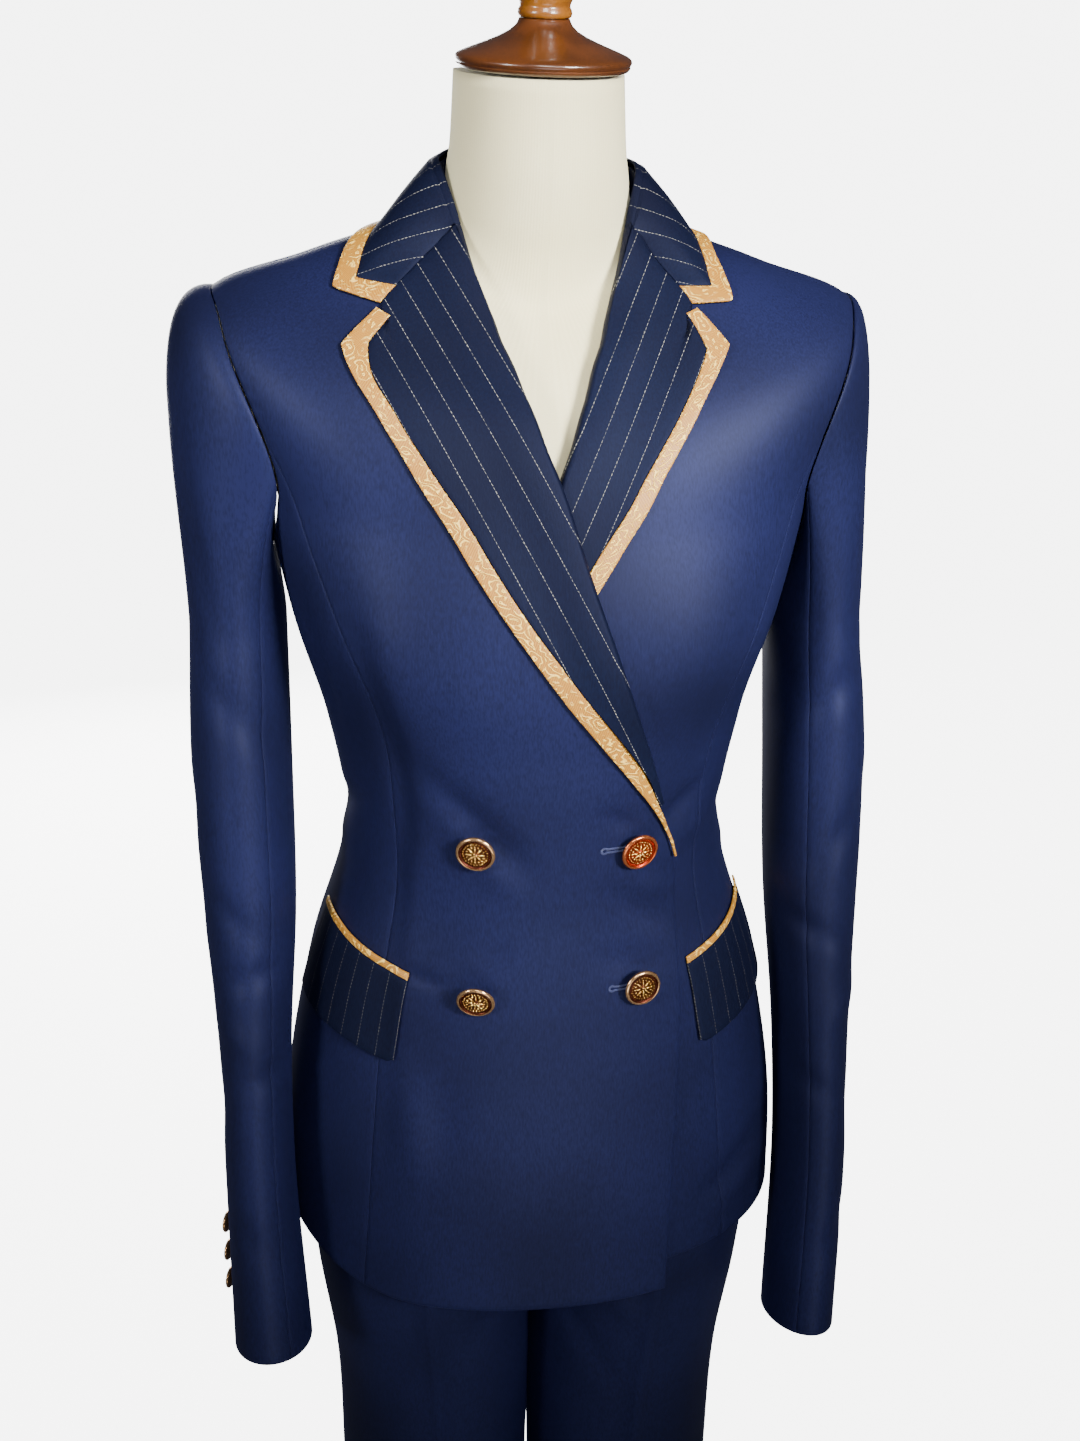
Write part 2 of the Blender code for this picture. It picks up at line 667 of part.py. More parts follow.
def lapel_trim(side):
    line, edge = lapel_lines(side)
    notch, inner_notch = np.array(NOTCH[side]), np.array(NOTCH_INNER[side])
    edge = np.concatenate([edge, [(edge[-1] + notch) / 2, notch]])
    line = np.concatenate([line, [(line[-1] + inner_notch) / 2, inner_notch]])
    return band(f"lapel_trim_{side}", side, line, edge, lambda a, h: lapel_lift(side, a, h))


def collar_lines(side):
    """The fold, the band's inner line and the edge of half a collar, as (angle, height) at each
    station from the gorge round to the back."""
    rows = np.array(COLLAR[side])
    gorge = np.array([GORGE[side][0][0], *GORGE[side][4], *GORGE[side][5]])
    stations = np.array(COLLAR_STATIONS)[:, None]
    front = gorge + (rows[0] - gorge) * stations
    table = np.column_stack([np.arange(1, len(rows) + 1), rows])
    back = smooth(table, np.maximum(stations[:, 0], 1))
    values = np.where(stations < 1, front, back)
    fold = np.column_stack([values[:, 0], smooth(COLLAR_FOLD, values[:, 0])[:, 0]])
    return fold, values[:, 1:3], values[:, 3:5]


def collar_half(side):
    """Outer and inner grids of half the turned-down collar, rows from the gorge to the back and
    columns from the fold to the band. It bridges the hollow where the neck meets the shoulder."""
    fold_line, inner_line, _ = collar_lines(side)
    gorge = np.array(GORGE[side][:5])
    share = (np.array(COLLAR_STATIONS) / COLLAR_STATIONS[-1])[:, None, None]
    angle, height = mirrored(side, fold_line[:, 0]), fold_line[:, 1]
    fold = torso(angle, height)
    normal = unit(torso(angle, height, 0.001) - fold)
    grids = []
    for lift in (LAYER + COLLAR_RISE, LAYER_GAP + COLLAR_RISE):
        start = fold + normal * lift
        end = torso(mirrored(side, inner_line[:, 0]), inner_line[:, 1], lift)
        front = torso(mirrored(side, gorge[:, 0]), gorge[:, 1], lift)
        across = np.linspace(0, 1, len(gorge))[:, None]
        leaf = start[:, None] * (1 - across) + end[:, None] * across
        leaf = leaf + (1 - share) ** 8 * (front - leaf[0])
        grids.append(leaf)
    outer, inner = grids
    edges = rolled_edge(fold, normal, outer[:, 1], inner[:, 1])
    outer, inner = (np.concatenate([e, g[:, 2:]], 1) for e, g in zip(edges, (outer, inner)))
    for grid in (outer, inner):
        grid[:, -1] += unit(grid[:, -2] - grid[:, -1]) * SEAM / 2
        grid[0] += unit(grid[1] - grid[0]) * SEAM
    return outer, inner


def joined_halves(right, left):
    """Two half grids that meet at the centre back, as one."""
    return np.concatenate([right, left[:-1][::-1]])


def collar():
    halves = [collar_half(side) for side in ("right", "left")]
    return wall("collar", *(joined_halves(*pair) for pair in zip(*halves)), pinstripe_cloth())


def collar_trim():
    grids = []
    for lift in (LAYER + COLLAR_RISE, LAYER_GAP + COLLAR_RISE):
        halves = []
        for side in ("right", "left"):
            _, line, edge = collar_lines(side)
            pair = np.stack([line, (line + edge) / 2, edge], 1)
            half = torso(mirrored(side, pair[..., 0]), pair[..., 1], lift)
            half[:, 0] += unit(half[:, 1] - half[:, 0]) * SEAM / 2
            half[0] += unit(half[1] - half[0]) * SEAM
            halves.append(half)
        grids.append(joined_halves(*halves))
    return wall("collar_trim", *grids, gold_brocade())


def collar_stand():
    angle = np.linspace(COLLAR_FOLD[0][0], 180, 16)
    angle = np.concatenate([-angle, angle[:-1][::-1]])
    top = smooth(COLLAR_FOLD, np.abs(angle))[:, 0] - STAND_TOP
    foot = np.full(len(angle), NECKLINE + STAND_FOOT)
    height = np.stack([foot, (foot + top) / 2, top])
    outer, inner = torso(angle, height), torso(angle, height, -CLOTH)
    return wall("collar_stand", outer, inner, pinstripe_cloth())


# Pockets ----------------------------------------------------------------------------------

FLAP_TOP = ((36.8, 0.9800), (44, 0.9830), (52, 0.9860), (60, 0.9890), (68, 0.9915), (82, 0.9935))
FLAP_BOTTOM = ((37.2, 0.9228), (38.8, 0.9206), (42, 0.9212), (50, 0.9240), (60, 0.9270), (83, 0.9310))
WELT_HEIGHT = 0.0048
WELT_RISE = 0.0003


def pocket_lift(angle, height):
    """The flap lies on the front and the side panel, so it clears the higher of them."""
    return front_lift(angle, height) * (angle < 0)


def pocket_flap(side):
    top, bottom = line_through(FLAP_TOP, 7), line_through(FLAP_BOTTOM, 7)
    t = np.linspace(0, 1, 4)[:, None, None]
    grid = bottom * (1 - t) + top * t
    angle, height = mirrored(side, grid[..., 0]), grid[..., 1]
    rise = pocket_lift(angle, height)
    outer, inner = torso(angle, height, rise + LAYER), torso(angle, height, rise + LAYER_GAP)
    return wall(f"flap_{side}", outer, inner, pinstripe_cloth())


def pocket_welt(side):
    low = line_through(FLAP_TOP, 7) + np.array([0, SEAM])
    high = low + np.array([0, WELT_HEIGHT])
    grid = np.stack([low, high])
    angle, height = mirrored(side, grid[..., 0]), grid[..., 1]
    rise = pocket_lift(angle, height)
    outer = torso(angle, height, rise + LAYER + WELT_RISE)
    inner = torso(angle, height, rise + LAYER_GAP)
    return wall(f"welt_{side}", outer, inner, gold_brocade())


# Buttons ----------------------------------------------------------------------------------


def button_profile(radius):
    """A domed metal button with a raised rim, on its shank."""
    r = radius
    return (
        (0, 0.0000),
        (0.20 * r, 0.0000),
        (0.20 * r, 0.0024),
        (0.80 * r, 0.0028),
        (1.00 * r, 0.0042),
        (0.88 * r, 0.0058),
        (0.70 * r, 0.0050),
        (0, 0.0060),
    )


def facing(point, normal, droop=0.0):
    """A place whose +Z points along the normal, tipped forwards and down by droop degrees."""
    z = Vector(normal).normalized()
    turn = z.to_track_quat("Z", "Y").to_matrix().to_4x4()
    tip = Matrix.Rotation(math.radians(droop), 4, "X")
    return Matrix.Translation(Vector(point)) @ tip @ turn


def front_buttons():
    for (side, row), (turn, height, droop) in BUTTONS.items():
        angle, at = np.array(mirrored(side, turn)), np.array(height)
        clear = BUTTON_CLEAR + BUTTON_RADIUS * math.sin(math.radians(droop))
        base = torso(angle, at, front_lift(angle, at) + clear)
        normal = torso(angle, at, 1.0) - torso(angle, at, 0.0)
        place = facing(base, normal, droop)
        turned(f"button_{row}_{side}", button_profile(BUTTON_RADIUS), gilt_metal(), 18, place)


CUFF_BUTTON_SHARES = (0.925, 0.885, 0.845)
CUFF_BUTTON_TURN = 342
CUFF_BUTTON_FLATNESS = 0.8


def cuff_buttons():
    for side in ("right", "left"):
        for number, share in enumerate(CUFF_BUTTON_SHARES, 1):
            turn, at = np.array(float(CUFF_BUTTON_TURN)), np.array(share)
            base = sleeve_point(side, turn, at, BUTTON_CLEAR)
            place = facing(base, sleeve_point(side, turn, at, 1.0) - base)
            profile = button_profile(CUFF_BUTTON_RADIUS)
            profile = [(r, z * CUFF_BUTTON_FLATNESS) for r, z in profile]
            turned(f"cuff_button_{number}_{side}", profile, gilt_metal(), 12, place)


# Trousers ---------------------------------------------------------------------------------

LEG = (
    # height, centre x, half width, front, back, squareness; above the fork one ring goes round
    # both sides
    (0.028, 0.0830, 0.0770, 0.0760, 0.0790, 2.0),
    (0.250, 0.0810, 0.0745, 0.0740, 0.0780, 2.0),
    (0.480, 0.0756, 0.0745, 0.0770, 0.0820, 2.0),
    (0.600, 0.0761, 0.0757, 0.0880, 0.0930, 2.1),
    (0.700, 0.0818, 0.0814, 0.1020, 0.1060, 2.1),
    (0.770, 0.0824, 0.0846, 0.1120, 0.1160, 2.1),
    (0.830, 0.0530, 0.1150, 0.1200, 0.1220, 2.1),
    (0.880, 0.0230, 0.1390, 0.1210, 0.1190, 2.1),
    (0.950, 0.0000, 0.1485, 0.1180, 0.1075, 2.1),
    (1.030, 0.0000, 0.1285, 0.1120, 0.0930, 2.1),
)
CREASE = 0.0045
CREASE_TOP = 0.790
LEG_HEIGHTS = (0.028, 0.16, 0.32, 0.48, 0.60, 0.69, 0.74, 0.78, 0.81, 0.84, 0.88, 0.93, 0.98, 1.03)
LEG_SHARES = 8
WAISTBAND = (1.0330, 1.062)


def leg_ring(turn, height, lift=0.0):
    """turn is 90 at the outside of the left leg, 0 at its front crease and -90 inside."""
    x, width, front, back, square = np.moveaxis(smooth(LEG, height), -1, 0)
    t = np.radians(turn)
    c, s = np.cos(t), np.sin(t)
    r = (np.abs(c) ** square + np.abs(s) ** square) ** (-1 / square)
    pressed = CREASE * ease((CREASE_TOP + 0.01 - height) / 0.10)
    near = np.abs((np.asarray(turn) + 90) % 180 - 90) / 9
    crease = pressed * np.maximum(1 - near, 0)
    depth = np.where(c > 0, front, back) + crease
    return np.stack(
        [x + (width + lift) * s * r, -(depth + lift) * c * r, np.broadcast_to(height, s.shape)], -1
    )


def inner_turn(height, sign):
    """The turn, front (+1) or back (-1), where the ring reaches the body's middle plane, or the
    inside of the leg below the fork."""
    low = np.full(len(height), -90.0)
    high = np.full(len(height), 20.0)
    for _ in range(40):
        mid = (low + high) / 2
        turn = mid if sign > 0 else 180 - mid
        inside = leg_ring(turn, height)[:, 0] < SEAM / 2
        low, high = np.where(inside, mid, low), np.where(inside, high, mid)
    reached = np.where(low < -89.9, -90.0, low)
    return reached if sign > 0 else 180 - reached


def trouser_panel(side, face):
    sign = 1 if face == "front" else -1
    heights = np.array(LEG_HEIGHTS)
    inside = inner_turn(heights, sign)
    outside = np.full(len(heights), 90.0)
    width = smooth(LEG, heights)[..., 1]
    gap = np.degrees(SEAM / 2 / width) * sign
    outside, inside = outside - gap, inside + np.where(np.abs(inside - 90) == 180, gap, 0)
    t = np.linspace(0, 1, LEG_SHARES)
    turn = inside[:, None] + (outside - inside)[:, None] * t
    crease = 0.0 if sign > 0 else 180.0
    nearest = np.abs(turn - crease).argmin(axis=1)
    for row, column in enumerate(nearest):
        if 0 < column < LEG_SHARES - 1 and heights[row] < CREASE_TOP:
            turn[row, column] = crease
    height = np.broadcast_to(heights[:, None], turn.shape)
    outer, inner = leg_ring(turn, height), leg_ring(turn, height, -CLOTH)
    for grid in (outer, inner):
        grid[..., 0] = np.maximum(grid[..., 0], SEAM / 2)
    mirror = mirror_of(side)
    return wall(f"trouser_{face}_{side}", outer * mirror, inner * mirror, navy_satin())


def waistband():
    turn = np.linspace(0, 360, 28, endpoint=False)
    low, high = WAISTBAND
    sides = ((low, TROUSER_LIFT), (high, TROUSER_LIFT))
    sides += ((high, TROUSER_LIFT - CLOTH), (low, TROUSER_LIFT - CLOTH))
    rings = [torso(turn, np.full(turn.shape, height), lift) for height, lift in sides]
    count = len(turn)
    index = np.arange(len(rings) * count).reshape(len(rings), count)
    around = np.roll(index, -1, axis=1)
    onward, both = np.roll(index, -1, axis=0), np.roll(around, -1, axis=0)
    faces = np.stack([index, around, both, onward], -1).reshape(-1, 4)
    return closed_mesh("waistband", np.concatenate(rings), faces, navy_satin())


# Dress form and stand ---------------------------------------------------------------------

NECK = (
    # height of the middle, fall of the front, front radius, back radius, half width
    (1.4600, 0.0360, 0.0510, 0.0470, 0.0565),
    (1.4740, 0.0250, 0.0600, 0.0430, 0.0548),
    (1.4900, 0.0120, 0.0675, 0.0370, 0.0524),
    (1.5280, 0.0049, 0.0705, 0.0310, 0.0501),
)
NECK_BACK_RISE = 0.35
FORM_AROUND = 28
FORM_ROUNDING = 0.022
FORM_HIP_GAP = 0.005
FORM_HEIGHTS = (0.905, 0.945, 1.000, 1.052, 1.095, 1.135, 1.170, 1.205, 1.240, 1.275)
FORM_SHOULDER = (1.305, 1.330, 1.345, 1.360, 1.375, 1.387, 1.397, 1.405)
NECK_TOP = (0, -0.0200, 1.5292)
NECK_LEAN = 5.5


def form_body():
    turn = np.linspace(0, 360, FORM_AROUND, endpoint=False)
    rings = []
    for height in FORM_HEIGHTS + FORM_SHOULDER:
        under_trousers = ease((WAISTBAND[1] + 0.013 - height) / 0.050)
        rings.append(torso(turn, height, FORM_LIFT - FORM_HIP_GAP * under_trousers))
    bottom = torso(turn, FORM_HEIGHTS[0], FORM_LIFT - FORM_ROUNDING)
    bottom[:, 2] = FORM_BOTTOM
    rings.insert(0, bottom)
    t = np.radians(turn)
    front = np.cos(t) > 0
    for middle, fall, before, behind, width in NECK:
        x, y = width * np.sin(t), -np.where(front, before, behind) * np.cos(t)
        z = middle - fall * np.cos(t) * np.where(front, 1.0, NECK_BACK_RISE) - TILT * x
        rings.append(np.stack([x, y, z], -1))
    return tube("form_body", rings, linen())


def neck_place():
    lean = Matrix.Rotation(math.radians(NECK_LEAN), 4, "X") @ Matrix.Rotation(TILT, 4, "Y")
    return Matrix.Translation(Vector(NECK_TOP)) @ lean


def neck_cap():
    profile = (
        (0, 0.0),
        (0.0470, 0.0),
        (0.0503, 0.0022),
        (0.0513, 0.0050),
        (0.0494, 0.0078),
        (0.0390, 0.0120),
        (0.0250, 0.0175),
        (0.0150, 0.0235),
        (0.0145, 0.0270),
        (0, 0.0270),
    )
    return turned("neck_cap", profile, dark_wood(), 28, neck_place())


def finial():
    profile = (
        (0, 0.0273),
        (0.0150, 0.0273),
        (0.0158, 0.0300),
        (0.0146, 0.0330),
        (0.0165, 0.0380),
        (0.0195, 0.0460),
        (0.0200, 0.0540),
        (0.0165, 0.0640),
        (0.0085, 0.0710),
        (0, 0.0725),
    )
    return turned("finial", profile, honey_wood(), 16, neck_place())


def pole():
    top, foot = FORM_BOTTOM - SEAM, BASE_THICKNESS + 0.0060 + SEAM
    profile = ((0, foot), (POLE_RADIUS, foot), (POLE_RADIUS, top), (0, top))
    return turned("pole", profile, blackened_steel(), 16, Matrix.Translation((POLE_X, 0, 0)))


def base():
    r, t = BASE_RADIUS, BASE_THICKNESS
    profile = ((0, 0), (r - 0.002, 0), (r, 0.002), (r, t - 0.004), (r - 0.004, t), (0, t + 0.006))
    return turned("base", profile, blackened_steel(), 48)


def main():
    for old in list(bpy.data.objects):
        bpy.data.objects.remove(old)
    for side in ("right", "left"):
        jacket_front(side)
        jacket_side(side)
        jacket_back(side)
        sleeve_half(side, "upper")
        sleeve_half(side, "under")
        lapel(side)
        lapel_trim(side)
        pocket_flap(side)
        pocket_welt(side)
        trouser_panel(side, "front")
        trouser_panel(side, "back")
    collar()
    collar_trim()
    collar_stand()
    front_buttons()
    cuff_buttons()
    waistband()
    form_body()
    neck_cap()
    finial()
    pole()
    base()


main()
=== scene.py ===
"""A women's double-breasted suit on a limbless dress form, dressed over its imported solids.

Metres, +Z up. The wearer faces -Y, so the wearer's right side is -X. The tables and the functions
of the jacket's and trousers' shape are those of the part's own source. Every panel is drawn again
here as a thin cloth with rolled cut edges, soft creases and its grain kept in an attribute.
"""

import math

import bmesh
import bpy
import numpy as np
from mathutils import Matrix, Vector


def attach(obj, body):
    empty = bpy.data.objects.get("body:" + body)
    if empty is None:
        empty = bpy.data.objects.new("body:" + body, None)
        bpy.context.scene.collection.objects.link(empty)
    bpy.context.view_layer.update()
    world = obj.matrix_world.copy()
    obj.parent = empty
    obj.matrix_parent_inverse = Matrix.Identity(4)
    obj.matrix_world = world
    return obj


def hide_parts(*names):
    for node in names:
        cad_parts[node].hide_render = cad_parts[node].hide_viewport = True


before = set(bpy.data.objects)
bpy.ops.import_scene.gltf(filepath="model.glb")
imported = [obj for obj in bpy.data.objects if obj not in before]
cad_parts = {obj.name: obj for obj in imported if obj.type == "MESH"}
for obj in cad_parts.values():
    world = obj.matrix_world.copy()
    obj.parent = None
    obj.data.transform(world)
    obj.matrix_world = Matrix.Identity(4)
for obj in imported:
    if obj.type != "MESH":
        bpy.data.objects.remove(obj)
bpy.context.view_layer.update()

SIDES = ("right", "left")
# Cloth, seams and layers, as in the solids
CLOTH = 0.0016
HALF = CLOTH / 2
LAYER_GAP = 0.0010
LAYER = CLOTH + LAYER_GAP
TROUSER_LIFT, FORM_LIFT = -0.0042, -0.0088
# Two panels' edges stand this far apart at a seam
SEAM = 0.00004

HEM, HEM_RISE, HEM_RISE_TOP = 0.731, 0.023, 0.840
# On the right front the hem comes down between these degrees from the side to the front edge
HEM_LEVEL, HEM_LEVEL_OVER = 34, 40
NECKLINE, ARMHOLE_SIDE, BREAK_POINT = 1.405, 1.300, 1.060
TILT, TILT_FROM, TILT_TO = 0.017, 1.150, 1.330

# Height at the front, at the side and at the back; half width, front and back depth; squareness
TORSO = (
    (0.731, 0.731, 0.731, 0.183, 0.136, 0.14, 2.2), (0.84, 0.84, 0.84, 0.178, 0.134, 0.137, 2.2),
    (0.95, 0.95, 0.95, 0.157, 0.126, 0.116, 2.2), (1.052, 1.052, 1.052, 0.129, 0.119, 0.098, 2.2),
    (1.135, 1.135, 1.135, 0.139, 0.128, 0.102, 2.2), (1.205, 1.205, 1.205, 0.158, 0.136, 0.108, 2.3),
    (1.27, 1.29, 1.29, 0.175, 0.126, 0.11, 2.4), (1.335, 1.4, 1.375, 0.2, 0.104, 0.1, 2.3),
    (1.372, 1.424, 1.425, 0.138, 0.08, 0.082, 2.2), (1.405, 1.45, 1.455, 0.068, 0.056, 0.06, 2),
    (1.44, 1.484, 1.496, 0.06, 0.06, 0.054, 2),
)
BUST_DEPTH, BUST_ANGLE, BUST_SPREAD = 0.010, 38.0, 20.0
BUST_HEIGHT, BUST_REACH, BUST_SIDEWAYS = 1.205, 0.055, 0.4
# Steps in degrees and metres over which a normal is taken
TURN_STEP, RISE_STEP = 0.05, 0.0002
# The right front clears the left lapel from this height on, and comes down to one layer at the top
LAPEL_UNDER, LAPEL_UNDER_FADE = 1.015, 0.055
OVERLAP_TOP, OVERLAP_FADE = 1.395, 0.06
# Seams and front edge: height, and angle from the front centre on the left side
PRINCESS_SEAM = (
    (0.731, 43), (0.83, 41), (0.92, 42), (1.01, 46), (1.084, 47), (1.144, 45), (1.186, 45), (1.226, 49),
    (1.26, 53), (1.3, 55),
)
BACK_SEAM = ((0.731, 140), (0.84, 138), (0.95, 136), (1.052, 132), (1.135, 131), (1.205, 130), (1.3, 126))
FRONT_EDGE = (
    (0.731, 26), (0.823, 27), (0.903, 30), (0.981, 34), (1.056, 36), (1.124, 26), (1.19, 15), (1.246, 7),
    (1.321, -1.4), (1.35, -5.2), (1.377, -12.5), (1.391, -21), (1.398, -28.8), (1.405, -40),
    (1.4095, -47.5), (1.414, -54.9),
)
# The armhole: turn round the sleeve in degrees, then angle and height on the body
ARMHOLE = (
    (0, 90, 1.339), (25, 72, 1.3365), (50, 62, 1.328), (70, 56.5, 1.315), (90, 55, 1.3), (120, 60, 1.275),
    (150, 74, 1.25), (180, 90, 1.238), (210, 106, 1.25), (240, 120, 1.275), (270, 126, 1.3),
    (290, 124.5, 1.315), (310, 118, 1.328), (335, 106, 1.3365), (360, 90, 1.339),
)
# Lapel outlines as angle and height, from the notch round the tip down to the break point
LAPEL_EDGE = {
    "right": (
        (41.5, 1.3525), (35, 1.3418), (29.8, 1.3315), (26.2, 1.3192), (22, 1.293), (17.3, 1.2625),
        (10.2, 1.2283), (0.8, 1.1905), (-8.8, 1.158), (-18.5, 1.1265), (-25.6, 1.104), (-31.4, 1.082),
        (-34.3, 1.064),
    ),
    "left": (
        (38.2, 1.3587), (32.2, 1.3512), (25.8, 1.34), (21.4, 1.3272), (17.6, 1.309), (15.2, 1.2895),
        (11, 1.2664), (6.6, 1.245), (1.5, 1.216), (-4, 1.19), (-11, 1.16), (-19, 1.13), (-25.6, 1.102),
        (-30.8, 1.08),
    ),
}
LAPEL_INNER = {
    "right": (
        (38, 1.358), (32.3, 1.345), (26.8, 1.3336), (23.3, 1.3215), (18.2, 1.2949), (13.3, 1.264),
        (6, 1.229), (-4.2, 1.191), (-14.2, 1.158), (-21.6, 1.1315), (-26.9, 1.107), (-32.4, 1.082),
        (-35, 1.064),
    ),
    "left": (
        (33.5, 1.361), (29.2, 1.3544), (23, 1.3424), (18.6, 1.3296), (14.5, 1.311), (11.7, 1.2915),
        (6.9, 1.267), (2.4, 1.245), (-2.6, 1.216), (-8.5, 1.19), (-15.5, 1.158), (-21.8, 1.13),
        (-26.4, 1.107), (-32.6, 1.08),
    ),
}
GORGE = {
    "right": (
        (54.9, 1.414), (56.5, 1.403), (54.2, 1.3955), (51, 1.389), (47.9, 1.382), (45.3, 1.3745),
    ),
    "left": (
        (54.9, 1.414), (57, 1.4045), (52.6, 1.397), (49, 1.391), (46.1, 1.3855), (42.5, 1.379),
    ),
}
NOTCH = {"right": (44.6, 1.3722), "left": (41.8, 1.3768)}
NOTCH_INNER = {"right": (40.3, 1.372), "left": (38.2, 1.3772)}
COLLAR_FOLD = (
    (47.5, 1.4095), (54.9, 1.414), (62, 1.419), (70, 1.4245), (78, 1.4297), (90, 1.4335), (112, 1.435),
    (145, 1.4355), (180, 1.436),
)
# Angle of the fold, then angle and height of the band's inner line and of the edge
COLLAR = {
    "right": (
        (62, 57, 1.3765, 57.8, 1.3695), (70, 63.4, 1.381, 65.6, 1.376), (79, 76.9, 1.3872, 77, 1.3817),
        (92, 92, 1.3915, 92, 1.3862), (115, 115, 1.393, 115, 1.388), (147, 147, 1.389, 147, 1.384),
        (180, 180, 1.3875, 180, 1.3825),
    ),
    "left": (
        (61, 52.1, 1.3795, 50.8, 1.3718), (68, 58.5, 1.3835, 60.4, 1.3795), (78, 71, 1.3885, 72.5, 1.385),
        (92, 92, 1.3925, 92, 1.3875), (115, 115, 1.393, 115, 1.388), (147, 147, 1.389, 147, 1.384),
        (180, 180, 1.3875, 180, 1.3825),
    ),
}

# Creases of the jacket's body: from angle and height to angle and height, half width and depth in
# metres. A ridge is above 0 and a trough below.
METRES_PER_DEGREE = 0.0025
# Share of its depth that a crease keeps at its ends
CREASE_END = 0.35
BODY_CREASES = (
    (-33, 1.13, -8, 1.064, 0.012, -0.0042), (-30, 1.105, -12, 1.05, 0.01, 0.0019),
    (16, 1.046, 32, 1.01, 0.009, -0.0024), (12, 1.104, 22, 1.092, 0.006, -0.0022),
    (24, 1.052, 33, 1.035, 0.007, 0.0018), (-40, 0.986, -26, 0.979, 0.004, -0.0018),
    (-36, 1.235, -37, 1.15, 0.018, 0.0029), (-42, 1.215, -42, 1.08, 0.01, -0.0026),
    (-33, 0.915, -31, 0.84, 0.011, 0.0026), (-24, 0.91, -24, 0.85, 0.01, -0.0014),
    (31, 1.088, 46, 1.106, 0.008, -0.0035), (36, 1.072, 52, 1.078, 0.01, 0.0026),
    (36, 0.798, 62, 0.828, 0.01, -0.0029), (40, 0.78, 64, 0.806, 0.01, 0.0019),
    (45, 0.886, 61, 0.886, 0.003, -0.001), (10, 1, 30, 0.988, 0.01, -0.0016),
    (-10, 1.01, -22, 0.996, 0.01, -0.0016), (60, 1.23, 66, 1.15, 0.014, -0.0026),
    (-62, 1.235, -66, 1.15, 0.014, -0.0026), (64, 1.075, 96, 1.058, 0.01, -0.0024),
    (-60, 1.09, -98, 1.062, 0.01, -0.0032), (70, 1.04, 100, 1.034, 0.01, 0.0016),
    (-72, 1.048, -104, 1.04, 0.01, 0.0016), (112, 1.08, 150, 1.052, 0.012, -0.0024),
    (-116, 1.072, -152, 1.046, 0.012, -0.0024), (128, 1.03, 172, 1.02, 0.011, 0.0018),
    (-132, 1.022, -170, 1.03, 0.011, 0.0018), (140, 1.25, 164, 1.15, 0.02, 0.0026),
    (-143, 1.245, -162, 1.16, 0.02, 0.0026), (118, 0.93, 124, 0.8, 0.016, 0.0026),
    (-120, 0.94, -128, 0.79, 0.016, 0.0026), (152, 0.9, 158, 0.77, 0.015, -0.0022),
    (-150, 0.89, -160, 0.76, 0.015, -0.0022),
)
# Creases of a sleeve: from turn and share to turn and share, half width and depth in metres
SLEEVE_METRES = (0.0007, 0.52)
SLEEVE_CREASES = {
    "right": (
        (60, 0.06, 150, 0.16, 0.012, -0.003), (40, 0.34, 130, 0.42, 0.01, -0.0022),
        (50, 0.46, 140, 0.44, 0.009, -0.003), (30, 0.52, 120, 0.55, 0.01, 0.0018),
        (70, 0.6, 150, 0.58, 0.009, -0.0022), (-60, 0.3, 40, 0.2, 0.018, -0.0014),
        (-70, 0.7, 60, 0.62, 0.02, -0.0012), (40, 0.8, 130, 0.86, 0.012, -0.0016),
        (-80, 0.45, 0, 0.42, 0.016, 0.0014), (20, -0.5, 70, 0, 0.012, -0.0018),
        (-70, -0.35, -20, 0.04, 0.014, -0.0016),
    ),
    "left": (
        (40, 0.05, 150, 0.12, 0.012, -0.0032), (30, 0.22, 130, 0.34, 0.012, -0.0026),
        (60, 0.44, 150, 0.4, 0.009, -0.0028), (20, 0.5, 110, 0.55, 0.011, 0.0018),
        (60, 0.66, 150, 0.62, 0.01, -0.0022), (-50, 0.36, 30, 0.26, 0.016, -0.0014),
        (-60, 0.75, 50, 0.66, 0.02, -0.0014), (20, 0.82, 120, 0.9, 0.012, -0.0016),
        (10, -0.6, 60, 0.02, 0.011, -0.002), (-60, -0.4, -25, 0.02, 0.014, -0.0016),
    ),
}
# Creases of a trouser leg: from turn and height to turn and height, half width and depth
LEG_METRES = 0.0014
LEG_CREASES = {
    "right": (
        (-62, 0.8, -20, 0.735, 0.01, -0.003), (-70, 0.74, -18, 0.66, 0.012, -0.0026),
        (-40, 0.77, -8, 0.7, 0.009, 0.0018), (30, 0.78, 62, 0.69, 0.014, -0.0016),
        (-60, 0.5, 40, 0.47, 0.016, -0.002), (120, 0.5, 220, 0.465, 0.014, -0.003),
        (130, 0.45, 230, 0.43, 0.014, 0.0016), (-50, 0.12, 60, 0.085, 0.014, -0.0026),
        (-30, 0.19, 50, 0.16, 0.014, -0.0016), (110, 0.11, 240, 0.07, 0.014, -0.002),
        (150, 0.84, 200, 0.76, 0.014, -0.0028), (-90, 0.8, -90, 0.52, 0.02, 0.0014),
        (270, 0.8, 270, 0.52, 0.02, 0.0014),
    ),
    "left": (
        (-64, 0.8, 12, 0.7, 0.011, -0.0034), (-50, 0.74, 10, 0.65, 0.01, 0.0022),
        (-72, 0.72, -10, 0.6, 0.012, -0.0024), (28, 0.77, 55, 0.7, 0.014, -0.0014),
        (-50, 0.48, 50, 0.5, 0.016, -0.002), (110, 0.49, 220, 0.47, 0.014, -0.003),
        (120, 0.44, 230, 0.425, 0.014, 0.0016), (-60, 0.1, 50, 0.11, 0.014, -0.0024),
        (-50, 0.17, 30, 0.19, 0.014, -0.0016), (120, 0.09, 240, 0.1, 0.014, -0.002),
        (150, 0.83, 205, 0.745, 0.014, -0.0026), (-90, 0.8, -90, 0.52, 0.02, 0.0014),
        (270, 0.8, 270, 0.52, 0.02, 0.0014),
    ),
}


# Shape of the body ------------------------------------------------------------------------


